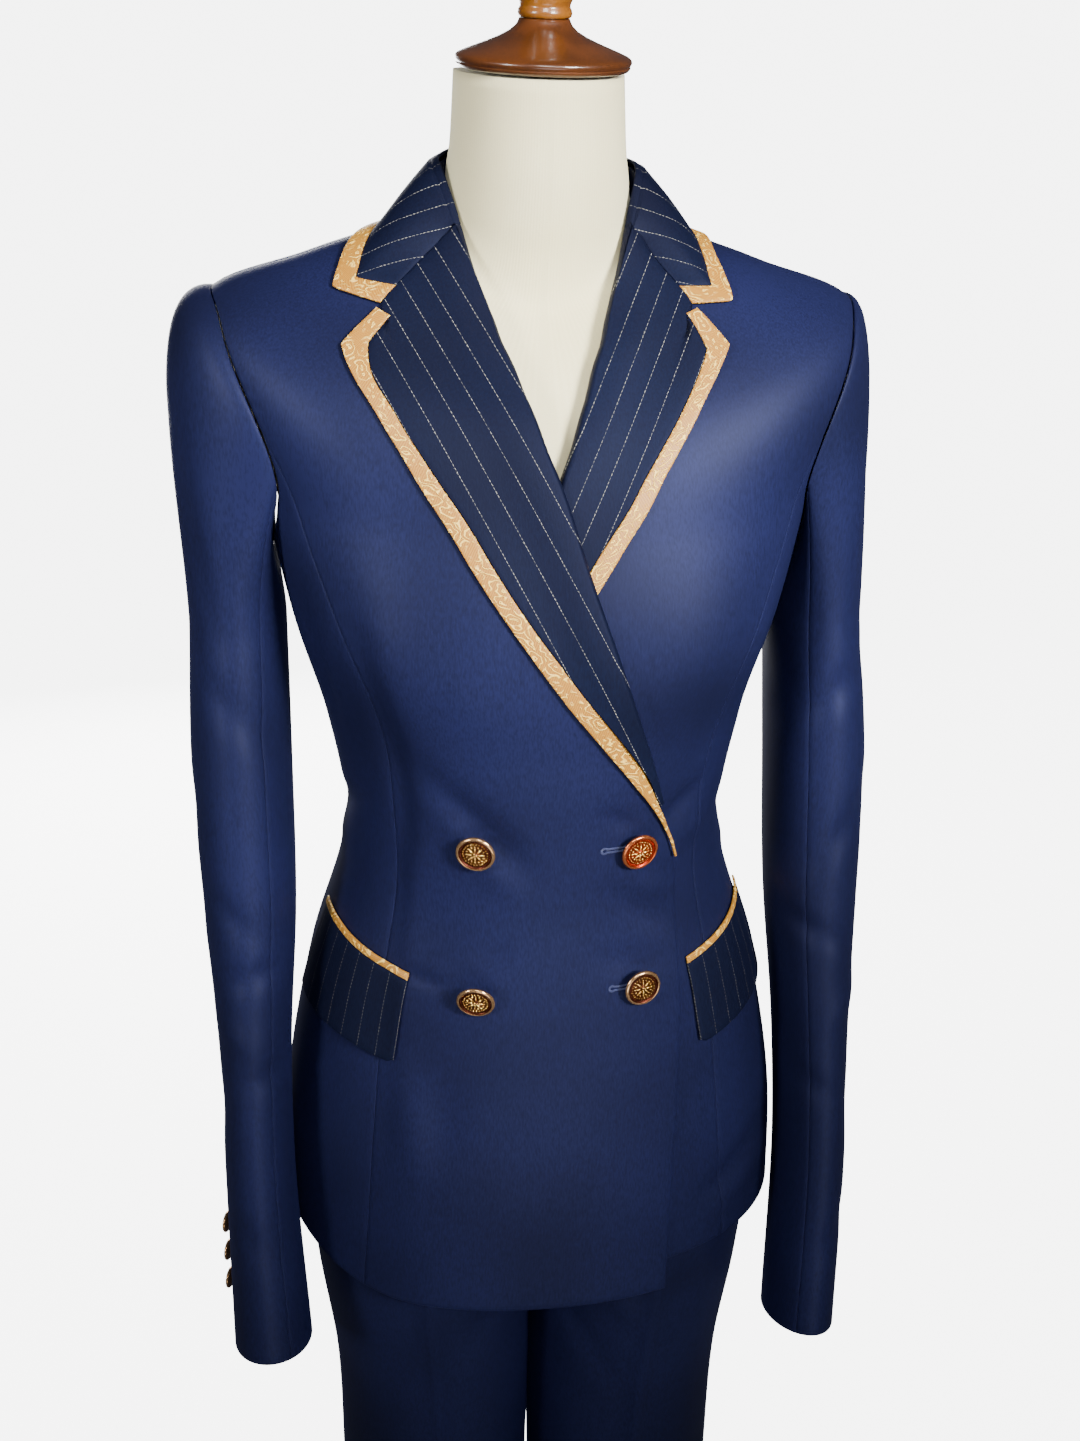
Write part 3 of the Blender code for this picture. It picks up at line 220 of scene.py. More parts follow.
def smooth(table, at):
    """The columns of a table at given values of its first column, on a smooth curve."""
    rows = np.array(table, float)
    x, y = rows[:, 0], rows[:, 1:]
    step = np.diff(x)[:, None]
    slope = np.diff(y, axis=0) / step
    tangent = np.zeros_like(y)
    tangent[1:-1] = (step[1:] * slope[:-1] + step[:-1] * slope[1:]) / (step[:-1] + step[1:])
    tangent[0], tangent[-1] = slope[0], slope[-1]
    at = np.asarray(at, float)
    i = np.clip(np.searchsorted(x, at, side="right") - 1, 0, len(x) - 2)
    span = (x[i + 1] - x[i])[..., None]
    t = (at[..., None] - x[i][..., None]) / span
    return (
        (2 * t**3 - 3 * t**2 + 1) * y[i]
        + (t**3 - 2 * t**2 + t) * span * tangent[i]
        + (3 * t**2 - 2 * t**3) * y[i + 1]
        + (t**3 - t**2) * span * tangent[i + 1]
    )


def ease(t):
    t = np.clip(t, 0, 1)
    return t * t * (3 - 2 * t)


def unit(vector):
    return vector / np.linalg.norm(vector, axis=-1, keepdims=True)


def torso_ring(angle, height):
    side, back_height, width, front, back, square = np.moveaxis(smooth(TORSO, height), -1, 0)
    a = np.radians(angle)
    c, s = np.cos(a), np.sin(a)
    r = (np.abs(c) ** square + np.abs(s) ** square) ** (-1 / square)
    turned = (np.abs((angle + 180) % 360 - 180) - BUST_ANGLE) / BUST_SPREAD
    bust = BUST_DEPTH * np.exp(-(turned**2) - ((height - BUST_HEIGHT) / BUST_REACH) ** 2)
    x = width * s * r + BUST_SIDEWAYS * bust * s
    y = -np.where(c > 0, front, back) * c * r - bust * c
    z = side + np.where(c > 0, height - side, back_height - side) * c * c
    z = z - TILT * x * ease((height - TILT_FROM) / (TILT_TO - TILT_FROM))
    return np.stack([x, y, z], -1)


def torso_normal(angle, height):
    across = torso_ring(angle + TURN_STEP, height) - torso_ring(angle - TURN_STEP, height)
    up = torso_ring(angle, height + RISE_STEP) - torso_ring(angle, height - RISE_STEP)
    return unit(np.cross(across, up))


def torso(angle, height, lift=0.0):
    """Points of the jacket's outer surface, moved out by lift along its normal."""
    angle, height = np.broadcast_arrays(np.asarray(angle, float), np.asarray(height, float))
    lift = np.broadcast_to(lift, angle.shape)[..., None]
    return torso_ring(angle, height) + torso_normal(angle, height) * lift


def laid(angle, height, rise):
    """Middle points and normals of cloth laid over the body."""
    return torso(angle, height, rise), torso_normal(angle, height)


def line_through(points, shares):
    """Points at shares of the length of a smooth line through (angle, height) points."""
    rows = np.array(points, float)
    place = torso(rows[:, 0], rows[:, 1])
    along = np.concatenate([[0], np.cumsum(np.linalg.norm(np.diff(place, axis=0), axis=1))])
    return smooth(np.column_stack([along / along[-1], rows]), shares)


def degrees(distance, angle, height):
    """A distance round the body in degrees, from the length of one degree there."""
    step = np.linalg.norm(torso_ring(angle + 0.5, height) - torso_ring(angle - 0.5, height), axis=-1)
    return distance / step


def front_lift(angle, height):
    """The right front lies over the left one, and over its lapel further up."""
    top_fade = ease((OVERLAP_TOP - height) / OVERLAP_FADE)
    two_layers = ease((height - LAPEL_UNDER) / LAPEL_UNDER_FADE) * top_fade
    rise = (LAYER + LAYER * two_layers) * top_fade
    left_edge = -smooth(FRONT_EDGE, height)[..., 0]
    fade_start = np.minimum(left_edge - 1.5, 12)
    fade_end = -smooth(PRINCESS_SEAM, np.minimum(height, ARMHOLE_SIDE))[..., 0] + 0.5
    return rise * ease((angle - fade_end) / (fade_start - fade_end))


def hem_rise(side, angle, height):
    share = 1.0 if side == "left" else ease((-angle - HEM_LEVEL) / HEM_LEVEL_OVER)
    return HEM_RISE * share * np.clip((HEM_RISE_TOP - height) / (HEM_RISE_TOP - HEM), 0, 1)


def mirrored(side, angle):
    return angle if side == "left" else -angle


def mirror_of(side):
    return np.array([-1.0 if side == "right" else 1.0, 1, 1])


def on_side(side, grid):
    """Angles and heights on a side from a grid of the left side's (angle, height)."""
    return mirrored(side, grid[..., 0]), grid[..., 1]


def creases(table, across, up, across_scale, up_scale=1.0):
    """How far the creases of a table move the cloth out at each point."""
    lift = np.zeros(np.broadcast(across, up).shape)
    for a0, u0, a1, u1, half_width, depth in table:
        ax, ay = (a1 - a0) * across_scale, (u1 - u0) * up_scale
        dx, dy = (across - a0) * across_scale, (up - u0) * up_scale
        t = np.clip((dx * ax + dy * ay) / (ax * ax + ay * ay), 0, 1)
        away = np.hypot(dx - t * ax, dy - t * ay)
        taper = CREASE_END + (1 - CREASE_END) * np.sin(np.pi * t)
        lift = lift + depth * taper * np.exp(-((away / half_width) ** 2))
    return lift


def body_creases(angle, height):
    return creases(BODY_CREASES, angle, height, METRES_PER_DEGREE)


# Materials --------------------------------------------------------------------------------


def linear(hex_colour):
    """An sRGB hex colour as linear RGBA."""
    channels = [int(hex_colour[i : i + 2], 16) / 255 for i in (1, 3, 5)]
    return (*[c / 12.92 if c <= 0.04045 else ((c + 0.055) / 1.055) ** 2.4 for c in channels], 1)


def add(tree, kind, *values, **named):
    """Adds a node. Values fill its sockets in order, capitalised names fill the sockets of that
    name and the rest are settings. A node given as a value stands for its first output."""
    node = tree.nodes.new(kind if "Node" in kind else "ShaderNode" + kind)
    filled = dict(enumerate(values))
    for name, value in named.items():
        if name[0].isupper():
            filled[name.replace("_", " ")] = value
        else:
            setattr(node, name, value)
    for name, value in filled.items():
        value = value.outputs[0] if isinstance(value, bpy.types.Node) else value
        if isinstance(value, bpy.types.NodeSocket):
            tree.links.new(value, node.inputs[name])
        else:
            node.inputs[name].default_value = value
    return node


def new_finish(name, **values):
    """A material, its node tree and its shader, with values on the shader's sockets."""
    made = bpy.data.materials.new(name)
    made.use_nodes = True
    shader = made.node_tree.nodes["Principled BSDF"]
    for socket, value in values.items():
        value = linear(value) if isinstance(value, str) else value
        shader.inputs[socket.replace("_", " ")].default_value = value
    return made, made.node_tree, shader


def coloured(tree, shader, share, one, other):
    """Colours the finish from one tone to another. A tone is a hex colour or a socket."""
    one, other = (linear(tone) if isinstance(tone, str) else tone for tone in (one, other))
    mix = add(tree, "Mix", Factor=share, A=one, B=other, data_type="RGBA")
    tree.links.new(mix.outputs["Result"], shader.inputs["Base Color"])
    return mix.outputs["Result"]


def bump(tree, shader, height, strength, distance, **under):
    """Relief from a height in shares of a distance in metres, over another relief's Normal."""
    made = add(tree, "Bump", Strength=strength, Distance=distance, Height=height, **under)
    tree.links.new(made.outputs[0], shader.inputs["Normal"])
    return made


def grain_of(tree):
    """The cloth's own place in metres: x across the grain, y along it."""
    return add(tree, "Attribute", attribute_name="grain").outputs["Vector"]


def place_of(tree):
    return add(tree, "TexCoord").outputs["Object"]


def suiting(name, dark, light, sheen, roughness):
    """Worsted suiting: a fine twill whose warp catches a little more light than its weft."""
    made, tree, shader = new_finish(
        name, Roughness=roughness, IOR=1.45, Specular_IOR_Level=0.24, Specular_Tint="#B4BCE8",
        Sheen_Weight=sheen, Sheen_Roughness=0.35, Sheen_Tint="#5A6CE0"
    )
    place = place_of(tree)
    # Slubs of about 1.5 mm, long in the warp's direction; the real 0.3 mm thread is too fine to show
    stretched = add(tree, "Mapping", Vector=place, Scale=(1.0, 1.0, 0.25))
    slub = add(tree, "TexNoise", Vector=stretched, Scale=900.0, Detail=3.0)
    broad = add(tree, "TexNoise", Vector=place, Scale=9.0, Detail=1.0)
    both = add(tree, "Math", slub, broad, operation="MULTIPLY")
    tone = coloured(tree, shader, add(tree, "MapRange", both, 0.12, 0.38), dark, light)
    return made, tree, shader, tone, slub


def make_navy_satin():
    """Wool satin in navy: a smooth face with a broad, soft, slightly violet sheen."""
    made, tree, shader, _, slub = suiting("navy_satin_cloth", "#101229", "#181B3B", 0.03, 0.52)
    bump(tree, shader, slub, 0.12, 0.0004)
    return made


# Stripes on the lapels, collar and flaps
STRIPE_PITCH, STRIPE_WIDTH, DASH = 0.0138, 0.00036, 0.0024


def make_pinstripe(name, strength):
    """Navy twill with a fine cream thread every 13.8 mm that dips under the twill in dashes."""
    made, tree, shader, tone, slub = suiting(name, "#060819", "#0A0F24", 0.02, 0.66)
    split = add(tree, "SeparateXYZ", grain_of(tree)).outputs
    near = add(tree, "Math", split["X"], STRIPE_PITCH / 2, operation="PINGPONG")
    line = add(tree, "MapRange", near, STRIPE_WIDTH / 2, STRIPE_WIDTH / 4)
    dash = add(tree, "Math", split["Y"], DASH / 2, operation="PINGPONG")
    thread = add(tree, "MapRange", dash, DASH * 0.16, DASH * 0.28, 0.12)
    wear = add(tree, "TexNoise", Vector=grain_of(tree), Scale=160.0, Detail=2.0)
    # strength sets how clearly the thread shows; the flaps' low strength is painted shade
    worn = add(tree, "MapRange", wear, 0.35, 0.6, 0.3 * strength, strength)
    part = add(tree, "Math", line, thread, operation="MULTIPLY")
    shown = add(tree, "Math", part, worn, operation="MULTIPLY")
    coloured(tree, shader, shown, tone, "#A9A79C")
    weave = bump(tree, shader, slub, 0.25, 0.0004)
    bump(tree, shader, shown, 0.4, 0.0002, Normal=weave)
    return made


# The brocade's motif is a little narrower than the band, and each scroll has three lines
MOTIF, MOTIF_LINES = 0.0085, 3.2


def make_brocade():
    """Gold brocade: a dull ribbed ground with raised satin scrolls, small curls and plain gaps."""
    made, tree, shader = new_finish(
        "gold_brocade_weave", Roughness=0.5, IOR=1.5, Sheen_Weight=0.15, Sheen_Roughness=0.4,
        Sheen_Tint="#E6BE5C"
    )
    place = grain_of(tree)
    drift = add(tree, "TexNoise", Vector=place, Scale=150.0, Detail=1.0)
    centred = add(tree, "VectorMath", drift.outputs["Color"], (0.5, 0.5, 0.5), operation="SUBTRACT")
    small = add(tree, "VectorMath", centred, Scale=0.008, operation="SCALE")
    bent = add(tree, "VectorMath", place, small, operation="ADD")
    flat = add(tree, "VectorMath", bent, (1.0, 0.75, 0.0), operation="MULTIPLY")
    lines = []
    for scale, turns in ((1 / MOTIF, MOTIF_LINES), (2.3 / MOTIF, MOTIF_LINES / 2)):
        cells = add(tree, "TexVoronoi", voronoi_dimensions="2D", Vector=flat, Scale=scale, Randomness=0.9)
        rings = add(tree, "Math", cells, turns * math.tau, operation="MULTIPLY")
        lines.append(add(tree, "MapRange", add(tree, "Math", rings, operation="SINE"), 0.35, 0.95))
    # Scrolls, small curls and bare ground take turns along the band
    patch = add(tree, "TexNoise", Vector=place, Scale=75.0, Detail=0.5)
    scrolls = add(tree, "MapRange", patch, 0.44, 0.5)
    curls = add(tree, "MapRange", patch, 0.40, 0.34)
    big = add(tree, "Math", scrolls, lines[0], operation="MULTIPLY")
    motif = add(tree, "Math", curls, lines[1], big, operation="MULTIPLY_ADD")
    # Weft ribs, real ones 0.4 mm apart, drawn at 0.8 mm so that they show
    wave = {"Scale": 390.0, "Distortion": 2.0, "Detail": 1.0, "bands_direction": "DIAGONAL"}
    ribs = add(tree, "TexWave", place, **wave).outputs["Fac"]
    ground = coloured(tree, shader, ribs, "#9A641A", "#B27C28")
    coloured(tree, shader, motif, ground, "#F0C45E")
    weave = bump(tree, shader, ribs, 0.2, 0.0002)
    bump(tree, shader, motif, 0.8, 0.0005, Normal=weave)
    return made


def make_gilt(name, dull, bright, roughness):
    """Plating or lacquer over a stamped brass button, polished high, a little dull in places."""
    made, tree, shader = new_finish(name, Metallic=0.85, Roughness=roughness)
    tarnish = add(tree, "TexNoise", Vector=place_of(tree), Scale=420.0, Detail=3.0)
    coloured(tree, shader, tarnish, dull, bright)
    bump(tree, shader, tarnish, 0.03, 0.0001)
    return made


def make_stitch_thread():
    """Twisted silk buttonhole thread, a lighter blue than the cloth."""
    made, tree, shader = new_finish("buttonhole_silk", Roughness=0.5, Sheen_Weight=0.3)
    twist = add(tree, "TexNoise", Vector=place_of(tree), Scale=1500.0)
    coloured(tree, shader, twist, "#101739", "#28346C")
    return made


def make_linen():
    """The form's cover: cream linen with a fine upright rib."""
    made, tree, shader = new_finish("linen_cover", Roughness=0.85, Sheen_Weight=0.2)
    # Ribs of 1.8 mm across the grain
    wave = {"Scale": 175.0, "Distortion": 0.6, "Detail": 2.0, "Detail_Scale": 4.0}
    rib = add(tree, "TexWave", grain_of(tree), bands_direction="X", **wave).outputs["Fac"]
    place = place_of(tree)
    fibre = add(tree, "TexNoise", Vector=place, Scale=1100.0, Detail=3.0)
    broad = add(tree, "TexNoise", Vector=place, Scale=14.0, Detail=2.0)
    both = add(tree, "Math", fibre, broad, operation="MULTIPLY")
    ribbed = add(tree, "Math", rib, 0.12, both, operation="MULTIPLY_ADD")
    coloured(tree, shader, ribbed, "#E6DAA4", "#F8F1CC")
    weave = bump(tree, shader, fibre, 0.15, 0.0003)
    bump(tree, shader, rib, 0.25, 0.0003, Normal=weave)
    return made


def make_wood(name, dark, light):
    """Turned hardwood under clear varnish: rings of 13 mm, long grain and fine dark pores."""
    made, tree, shader = new_finish(name, Roughness=0.32, Coat_Weight=0.6, Coat_Roughness=0.12)
    grain = add(tree, "Mapping", Vector=place_of(tree), Scale=(1.0, 0.25, 1.0))
    rings = add(tree, "TexWave", grain, Scale=24.0, Distortion=7.0, Detail=4.0, wave_type="RINGS")
    pores = add(tree, "TexNoise", Vector=grain, Scale=900.0, Detail=4.0)
    both = add(tree, "Math", rings.outputs["Fac"], 0.45, pores, operation="MULTIPLY_ADD")
    coloured(tree, shader, both, dark, light)
    bump(tree, shader, pores, 0.05, 0.0003)
    return made


def make_powder_coat():
    """Black powder coat on steel: matt, with a fine orange peel."""
    made, tree, shader = new_finish("black_powder_coat", Base_Color="#17171A")
    peel = add(tree, "TexNoise", Vector=place_of(tree), Scale=700.0, Detail=2.0)
    rough = add(tree, "MapRange", peel, 0.0, 1.0, 0.38, 0.55)
    tree.links.new(rough.outputs[0], shader.inputs["Roughness"])
    bump(tree, shader, peel, 0.2, 0.0003)
    return made


NAVY = make_navy_satin()
STRIPED = make_pinstripe("pinstripe_twill", 0.8)
# On the flaps the stripes are painted fainter as painted shade: the flaps lie in shade and their thread
# hardly catches light
SHADE_DIMMED_STRIPED = make_pinstripe("shade_dimmed_pinstripe_twill", 0.32)
BROCADE = make_brocade()
RIM_GILT = make_gilt("champagne_gilt_rim", "#A67648", "#DDB486", 0.20)
RELIEF_GILT = make_gilt("yellow_gilt_relief", "#D69A3C", "#F2CC78", 0.26)
COPPER_FIELD = make_gilt("copper_lacquer_field", "#2C0E04", "#54200A", 0.34)
RED_FIELD = make_gilt("red_copper_lacquer", "#761A06", "#A03010", 0.30)
RED_RIM = make_gilt("red_gilt_rim", "#B04A22", "#D98652", 0.22)
SILK = make_stitch_thread()
LINEN = make_linen()
DARK_WOOD = make_wood("varnished_dark_beech", "#2E1606", "#582E10")
HONEY_WOOD = make_wood("varnished_amber_beech", "#62340A", "#8E5614")
POWDER = make_powder_coat()


# Making cloth -----------------------------------------------------------------------------

# A cut edge is rolled: distance in from the edge and share of the full thickness there
RIM = np.array([0.0, 0.0002, 0.0007])
RIM_THICKNESS = np.array([0.30, 0.78, 1.0])
CLOTH_STEP = 0.0042
LEAST_WIDTH = 0.010


def spread(width, step=CLOTH_STEP, count=0):
    """Shares from 0 to 1 across cloth of these widths, close together at both edges."""
    width = np.atleast_1d(np.asarray(width, float))[:, None]
    count = count or max(int(math.ceil(width.max() / step)), 3)
    rim = RIM / width
    middle = np.linspace(0, 1, count + 1)[1:-1]
    middle = rim[:, -1:] + (1 - 2 * rim[:, -1:]) * middle
    return np.concatenate([rim, middle, 1 - rim[:, ::-1]], axis=1)


def rim_profile(count, first=True):
    """Thickness shares along one direction, thinner at the last edge and, if rolled, the first."""
    profile = np.ones(count)
    profile[-len(RIM) :] = RIM_THICKNESS[::-1]
    if first:
        profile[: len(RIM)] = RIM_THICKNESS
    return profile


def placed(name, data):
    """A mesh, lamp or camera as an object of the scene."""
    made = bpy.data.objects.new(name, data)
    bpy.context.scene.collection.objects.link(made)
    return made


def woven(name, points, faces, grain, finish):
    """A smooth piece whose points keep the cloth's own place, across and along the grain."""
    mesh = bpy.data.meshes.new(name)
    mesh.from_pydata(points.tolist(), [], faces)
    flat = np.zeros((len(points), 3), np.float32)
    flat[:, :2] = grain.reshape(-1, 2)
    mesh.attributes.new("grain", "FLOAT_VECTOR", "POINT").data.foreach_set("vector", flat.ravel())
    mesh.materials.append(finish)
    mesh.shade_smooth()
    return placed(name, mesh)


def settle(piece, *nodes):
    """The piece rides on the only body and stands for these nodes, which are hidden."""
    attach(piece, "root")
    if nodes:
        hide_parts(*nodes)


def lengths(grid, axis):
    return np.linalg.norm(np.diff(grid, axis=axis), axis=-1).sum(axis=axis)


def along_line(points):
    """Distance from the first point to each point of a line."""
    return np.concatenate([[0], np.cumsum(np.linalg.norm(np.diff(points, axis=0), axis=1))])


def cut_from(middle):
    """The flat size and area of a piece's cut, worked out but not used."""
    width, length = lengths(middle, 1).max(), lengths(middle, 0).max()
    one, two = middle[1:, 1:] - middle[:-1, :-1], middle[1:, :-1] - middle[:-1, 1:]
    area = np.linalg.norm(np.cross(one, two), axis=-1).sum() / 2
    # A narrower band than this gives its own area in a cut of the least width
    flat = (max(round(float(width), 3), LEAST_WIDTH), round(float(length), 3))
    area = min(float(area), flat[0] * flat[1])


def sewn(name, middle, normal, grain, finish, held, rests_on, folded=False):
    """A thin closed cloth about a grid of middle points, with rolled cut edges. The first column
    of a folded piece turns under and isn't rolled."""
    rows, columns = middle.shape[:2]
    thickness = np.minimum.outer(rim_profile(rows), rim_profile(columns, not folded))
    away = normal * (HALF * thickness)[..., None]
    points = np.concatenate([(middle + away).reshape(-1, 3), (middle - away).reshape(-1, 3)])
    index = np.arange(rows * columns).reshape(rows, columns)
    front = np.stack([index[:-1, :-1], index[:-1, 1:], index[1:, 1:], index[1:, :-1]], -1).reshape(-1, 4)
    ring = np.concatenate([index[0], index[1:, -1], index[-1, -2::-1], index[-2:0:-1, 0]])
    under = ring + index.size
    border = np.stack([ring, under, np.roll(under, -1), np.roll(ring, -1)], -1)
    faces = np.concatenate([front, front[:, ::-1] + index.size, border])
    row = rows // 2
    across, up = middle[row, 1] - middle[row, 0], middle[row + 1, 0] - middle[row, 0]
    if np.dot(np.cross(across, up), normal[row, 0]) < 0:
        faces = faces[:, ::-1]
    grain = np.concatenate([grain, grain])
    made = woven(f"{name}_dressed", points, faces.tolist(), grain, finish)
    settle(made, name)
    cut_from(middle)


# Jacket body ------------------------------------------------------------------------------

FOLD_SETBACK, SETBACK_OVER = 0.0026, 0.01
HOLE_TURNS = 4.0


def body_sheet(face, side, angle, height):
    """A jacket panel over the body. Angles are the left side's."""
    angle, height = np.broadcast_arrays(mirrored(side, angle), height)
    height = height + hem_rise(side, angle, height)
    lift = front_lift(angle, height) if (face, side) == ("front", "right") else 0.0
    middle, normal = laid(angle, height, lift - HALF + body_creases(angle, height))
    grain = np.stack([angle * METRES_PER_DEGREE, height], -1)
    sewn(f"jacket_{face}_{side}", middle, normal, grain, NAVY, "draped", ["form_body"])


def armhole_table(first, last):
    """Turn, angle and height of the armhole between two turns, finely."""
    turns = np.arange(first, last + 0.1, HOLE_TURNS)
    return np.column_stack([turns, smooth(ARMHOLE, turns)])


def outer_angle(height, seam, hole):
    """The outer boundary of a front or back: its seam, then the armhole, then the shoulder."""
    low = smooth(seam, np.minimum(height, ARMHOLE_SIDE))[..., 0]
    high = np.interp(height, hole[:, 2], hole[:, 1])
    return np.where(height <= ARMHOLE_SIDE, low, high)


def panel_heights(hole):
    low = HEM + (ARMHOLE_SIDE - HEM) * spread(ARMHOLE_SIDE - HEM)[0, : -len(RIM)]
    top = hole[:, 2].max()
    high = top + (NECKLINE - top) * spread(NECKLINE - top)[0, len(RIM) :]
    return np.unique(np.round(np.concatenate([low, hole[:, 2], high]), 6))


def across_panel(heights, first, last):
    """Angles and shares of the way from one boundary of a panel to the other, in rows."""
    share = spread((last - first) / degrees(1.0, (last + first) / 2, heights))
    return first[:, None] + (last - first)[:, None] * share, share


def jacket_front(side):
    hole = armhole_table(0, 90)[::-1]
    heights = panel_heights(hole)
    edge = -smooth(FRONT_EDGE, heights)[..., 0]
    edge = edge + degrees(FOLD_SETBACK, edge, heights) * ease((heights - BREAK_POINT) / SETBACK_OVER)
    outer = outer_angle(heights, PRINCESS_SEAM, hole)
    angle, _ = across_panel(heights, edge, outer - degrees(SEAM / 2, outer, heights))
    body_sheet("front", side, angle, heights[:, None])


def jacket_side(side):
    hole = armhole_table(90, 270)
    heights = HEM + (ARMHOLE_SIDE - HEM) * spread(ARMHOLE_SIDE - HEM)[0]
    left, right = (smooth(seam, heights)[..., 0] for seam in (PRINCESS_SEAM, BACK_SEAM))
    left = left + degrees(SEAM / 2, left, heights)
    right = right - degrees(SEAM / 2, right, heights)
    angle, across = across_panel(heights, left, right)
    hole_share = (hole[:, 1] - hole[0, 1]) / (hole[-1, 1] - hole[0, 1])
    top = np.interp(across, hole_share, hole[:, 2])
    share = (heights - HEM) / (ARMHOLE_SIDE - HEM)
    body_sheet("side", side, angle, HEM + share[:, None] * (top - HEM))


def jacket_back(side):
    hole = armhole_table(270, 360)
    heights = panel_heights(hole)
    outer = outer_angle(heights, BACK_SEAM, hole)
    centre = 180 - degrees(SEAM / 2, np.full_like(heights, 180.0), heights)
    angle, _ = across_panel(heights, outer + degrees(SEAM / 2, outer, heights), centre)
    body_sheet("back", side, angle, heights[:, None])


# Sleeves ----------------------------------------------------------------------------------

# Share of the arm, height, centre x, centre y, half width, half depth
SLEEVE = {
    "right": (
        (0, 1.2, 0.1928, -0.003, 0.0312, 0.056), (0.19, 1.1, 0.1955, -0.015, 0.033, 0.0545),
        (0.39, 1, 0.195, -0.03, 0.0305, 0.0515), (0.58, 0.9, 0.1965, -0.048, 0.0245, 0.049),
        (0.74, 0.82, 0.1975, -0.063, 0.024, 0.0475), (1, 0.68, 0.1945, -0.086, 0.0275, 0.046),
    ),
    "left": (
        (0, 1.196, 0.1885, -0.003, 0.03, 0.056), (0.19, 1.095, 0.1945, -0.015, 0.033, 0.0545),
        (0.39, 0.994, 0.195, -0.03, 0.0305, 0.0515), (0.58, 0.892, 0.1975, -0.048, 0.0245, 0.049),
        (0.74, 0.808, 0.199, -0.063, 0.0235, 0.0475), (1, 0.664, 0.194, -0.086, 0.024, 0.046),
    ),
}
CUFF_SLOPE = 0.34
SLEEVE_SEAMS = (120, 240)
HEAD_OUT = (np.array([0.55, -0.80, 0.75]), np.array([-0.90, -0.80, 0.30]))
HEAD_LEAVE = (np.array([1.0, -0.25, 0.10]), np.array([0.20, -0.25, 1.00]))
HEAD_DOWN = np.array([0, 0.05, 1.0])
HEAD_CLEAR = np.array([0.0010, 0, 0])
HEAD_RUN_IN = 0.42
HEAD_FULLNESS = {"right": (0.11, 0.11), "left": (0.02, 0.07)}
HEAD_LENGTH, ARM_LENGTH = 0.14, 0.53
TUBE_RADIUS = 0.045
# The share of the head over which its creases begin, and how far out its normals are taken
HEAD_CREASES_OVER, OUTSIDE = 0.3, 0.001


def sleeve_ring(side, turn, share):
    height, x, y, width, depth = np.moveaxis(smooth(SLEEVE[side], share), -1, 0)
    t = np.radians(turn)
    forward = depth * np.sin(t)
    return np.stack([x + width * np.cos(t), y - forward, height + CUFF_SLOPE * share * forward], -1)


def sleeve_point(side, turn, share, lift):
    """Points of the whole sleeve. share below 0 is the head, from -1 at the armhole."""
    turn, share, lift = np.broadcast_arrays(*(np.asarray(v, float) for v in (turn, share, lift)))
    t = np.radians(turn)
    lift = lift[..., None]
    parts = np.stack([np.ones_like(t), np.sin(t), np.cos(t)], -1)
    under = (1 - parts[..., 2:]) / 2
    head_out = (HEAD_OUT[0] * (1 - under) + HEAD_OUT[1] * under) * parts
    out = np.stack([np.cos(t), -np.sin(t), 0 * t], -1)
    place = smooth(ARMHOLE, turn % 360)
    hole = torso(mirrored(side, place[..., 0]), place[..., 1]) * mirror_of(side)
    start = hole + head_out * lift + HEAD_CLEAR
    end = sleeve_ring(side, turn, 0 * t) + out * lift
    reach = np.linalg.norm(end - start, axis=-1)[..., None]
    level, top = HEAD_FULLNESS[side]
    leave = (HEAD_LEAVE[0] * (1 - under) + HEAD_LEAVE[1] * under) * parts * reach
    leave = leave * (level + top * np.maximum(parts[..., 2:], 0))
    s = np.clip(share + 1, 0, 1)[..., None]
    head = (
        (1 - s) ** 3 * start
        + 3 * (1 - s) ** 2 * s * (start + leave)
        + 3 * (1 - s) * s**2 * (end + HEAD_DOWN * reach * HEAD_RUN_IN)
        + s**3 * end
    )
    low = sleeve_ring(side, turn, np.maximum(share, 0)) + out * lift
    return np.where((share < 0)[..., None], head, low) * mirror_of(side)


def sleeve_half(side, half):
    front, back = SLEEVE_SEAMS
    first, last = (front, back) if half == "under" else (back - 360, front)
    width = math.radians(last - first) * TUBE_RADIUS
    turns = first + (last - first) * spread(width - 2 * SEAM)[0]
    along = spread(HEAD_LENGTH + ARM_LENGTH)[0] * (HEAD_LENGTH + ARM_LENGTH)
    shares = np.where(along < HEAD_LENGTH, along / HEAD_LENGTH - 1, (along - HEAD_LENGTH) / ARM_LENGTH)
    turn, share = np.meshgrid(turns, shares)
    fold = sum(creases(SLEEVE_CREASES[side], turn + whole, share, *SLEEVE_METRES) for whole in (0, 360))
    rise = fold * ease((share + 1) / HEAD_CREASES_OVER) - HALF
    middle = sleeve_point(side, turn, share, rise)
    normal = unit(sleeve_point(side, turn, share, rise + OUTSIDE) - middle)
    for border, beside in ((0, 1), (-1, -2)):
        middle[:, border] += unit(middle[:, beside] - middle[:, border]) * SEAM / 2
    grain = np.stack([np.radians(turn) * TUBE_RADIUS, along[:, None] + 0 * turn], -1)
    rests_on = [f"jacket_front_{side}", f"jacket_back_{side}"]
    sewn(f"sleeve_{half}_{side}", middle, normal, grain, NAVY, "hung", rests_on)


# Lapels, collar and their bands -----------------------------------------------------------

LAPEL_FOOT, LAPEL_LENGTH = 1.107, 0.36
LAPEL_SEAM, NOTCH_EDGE, LEAST_LAPEL = 0.0003, 0.022, 0.004
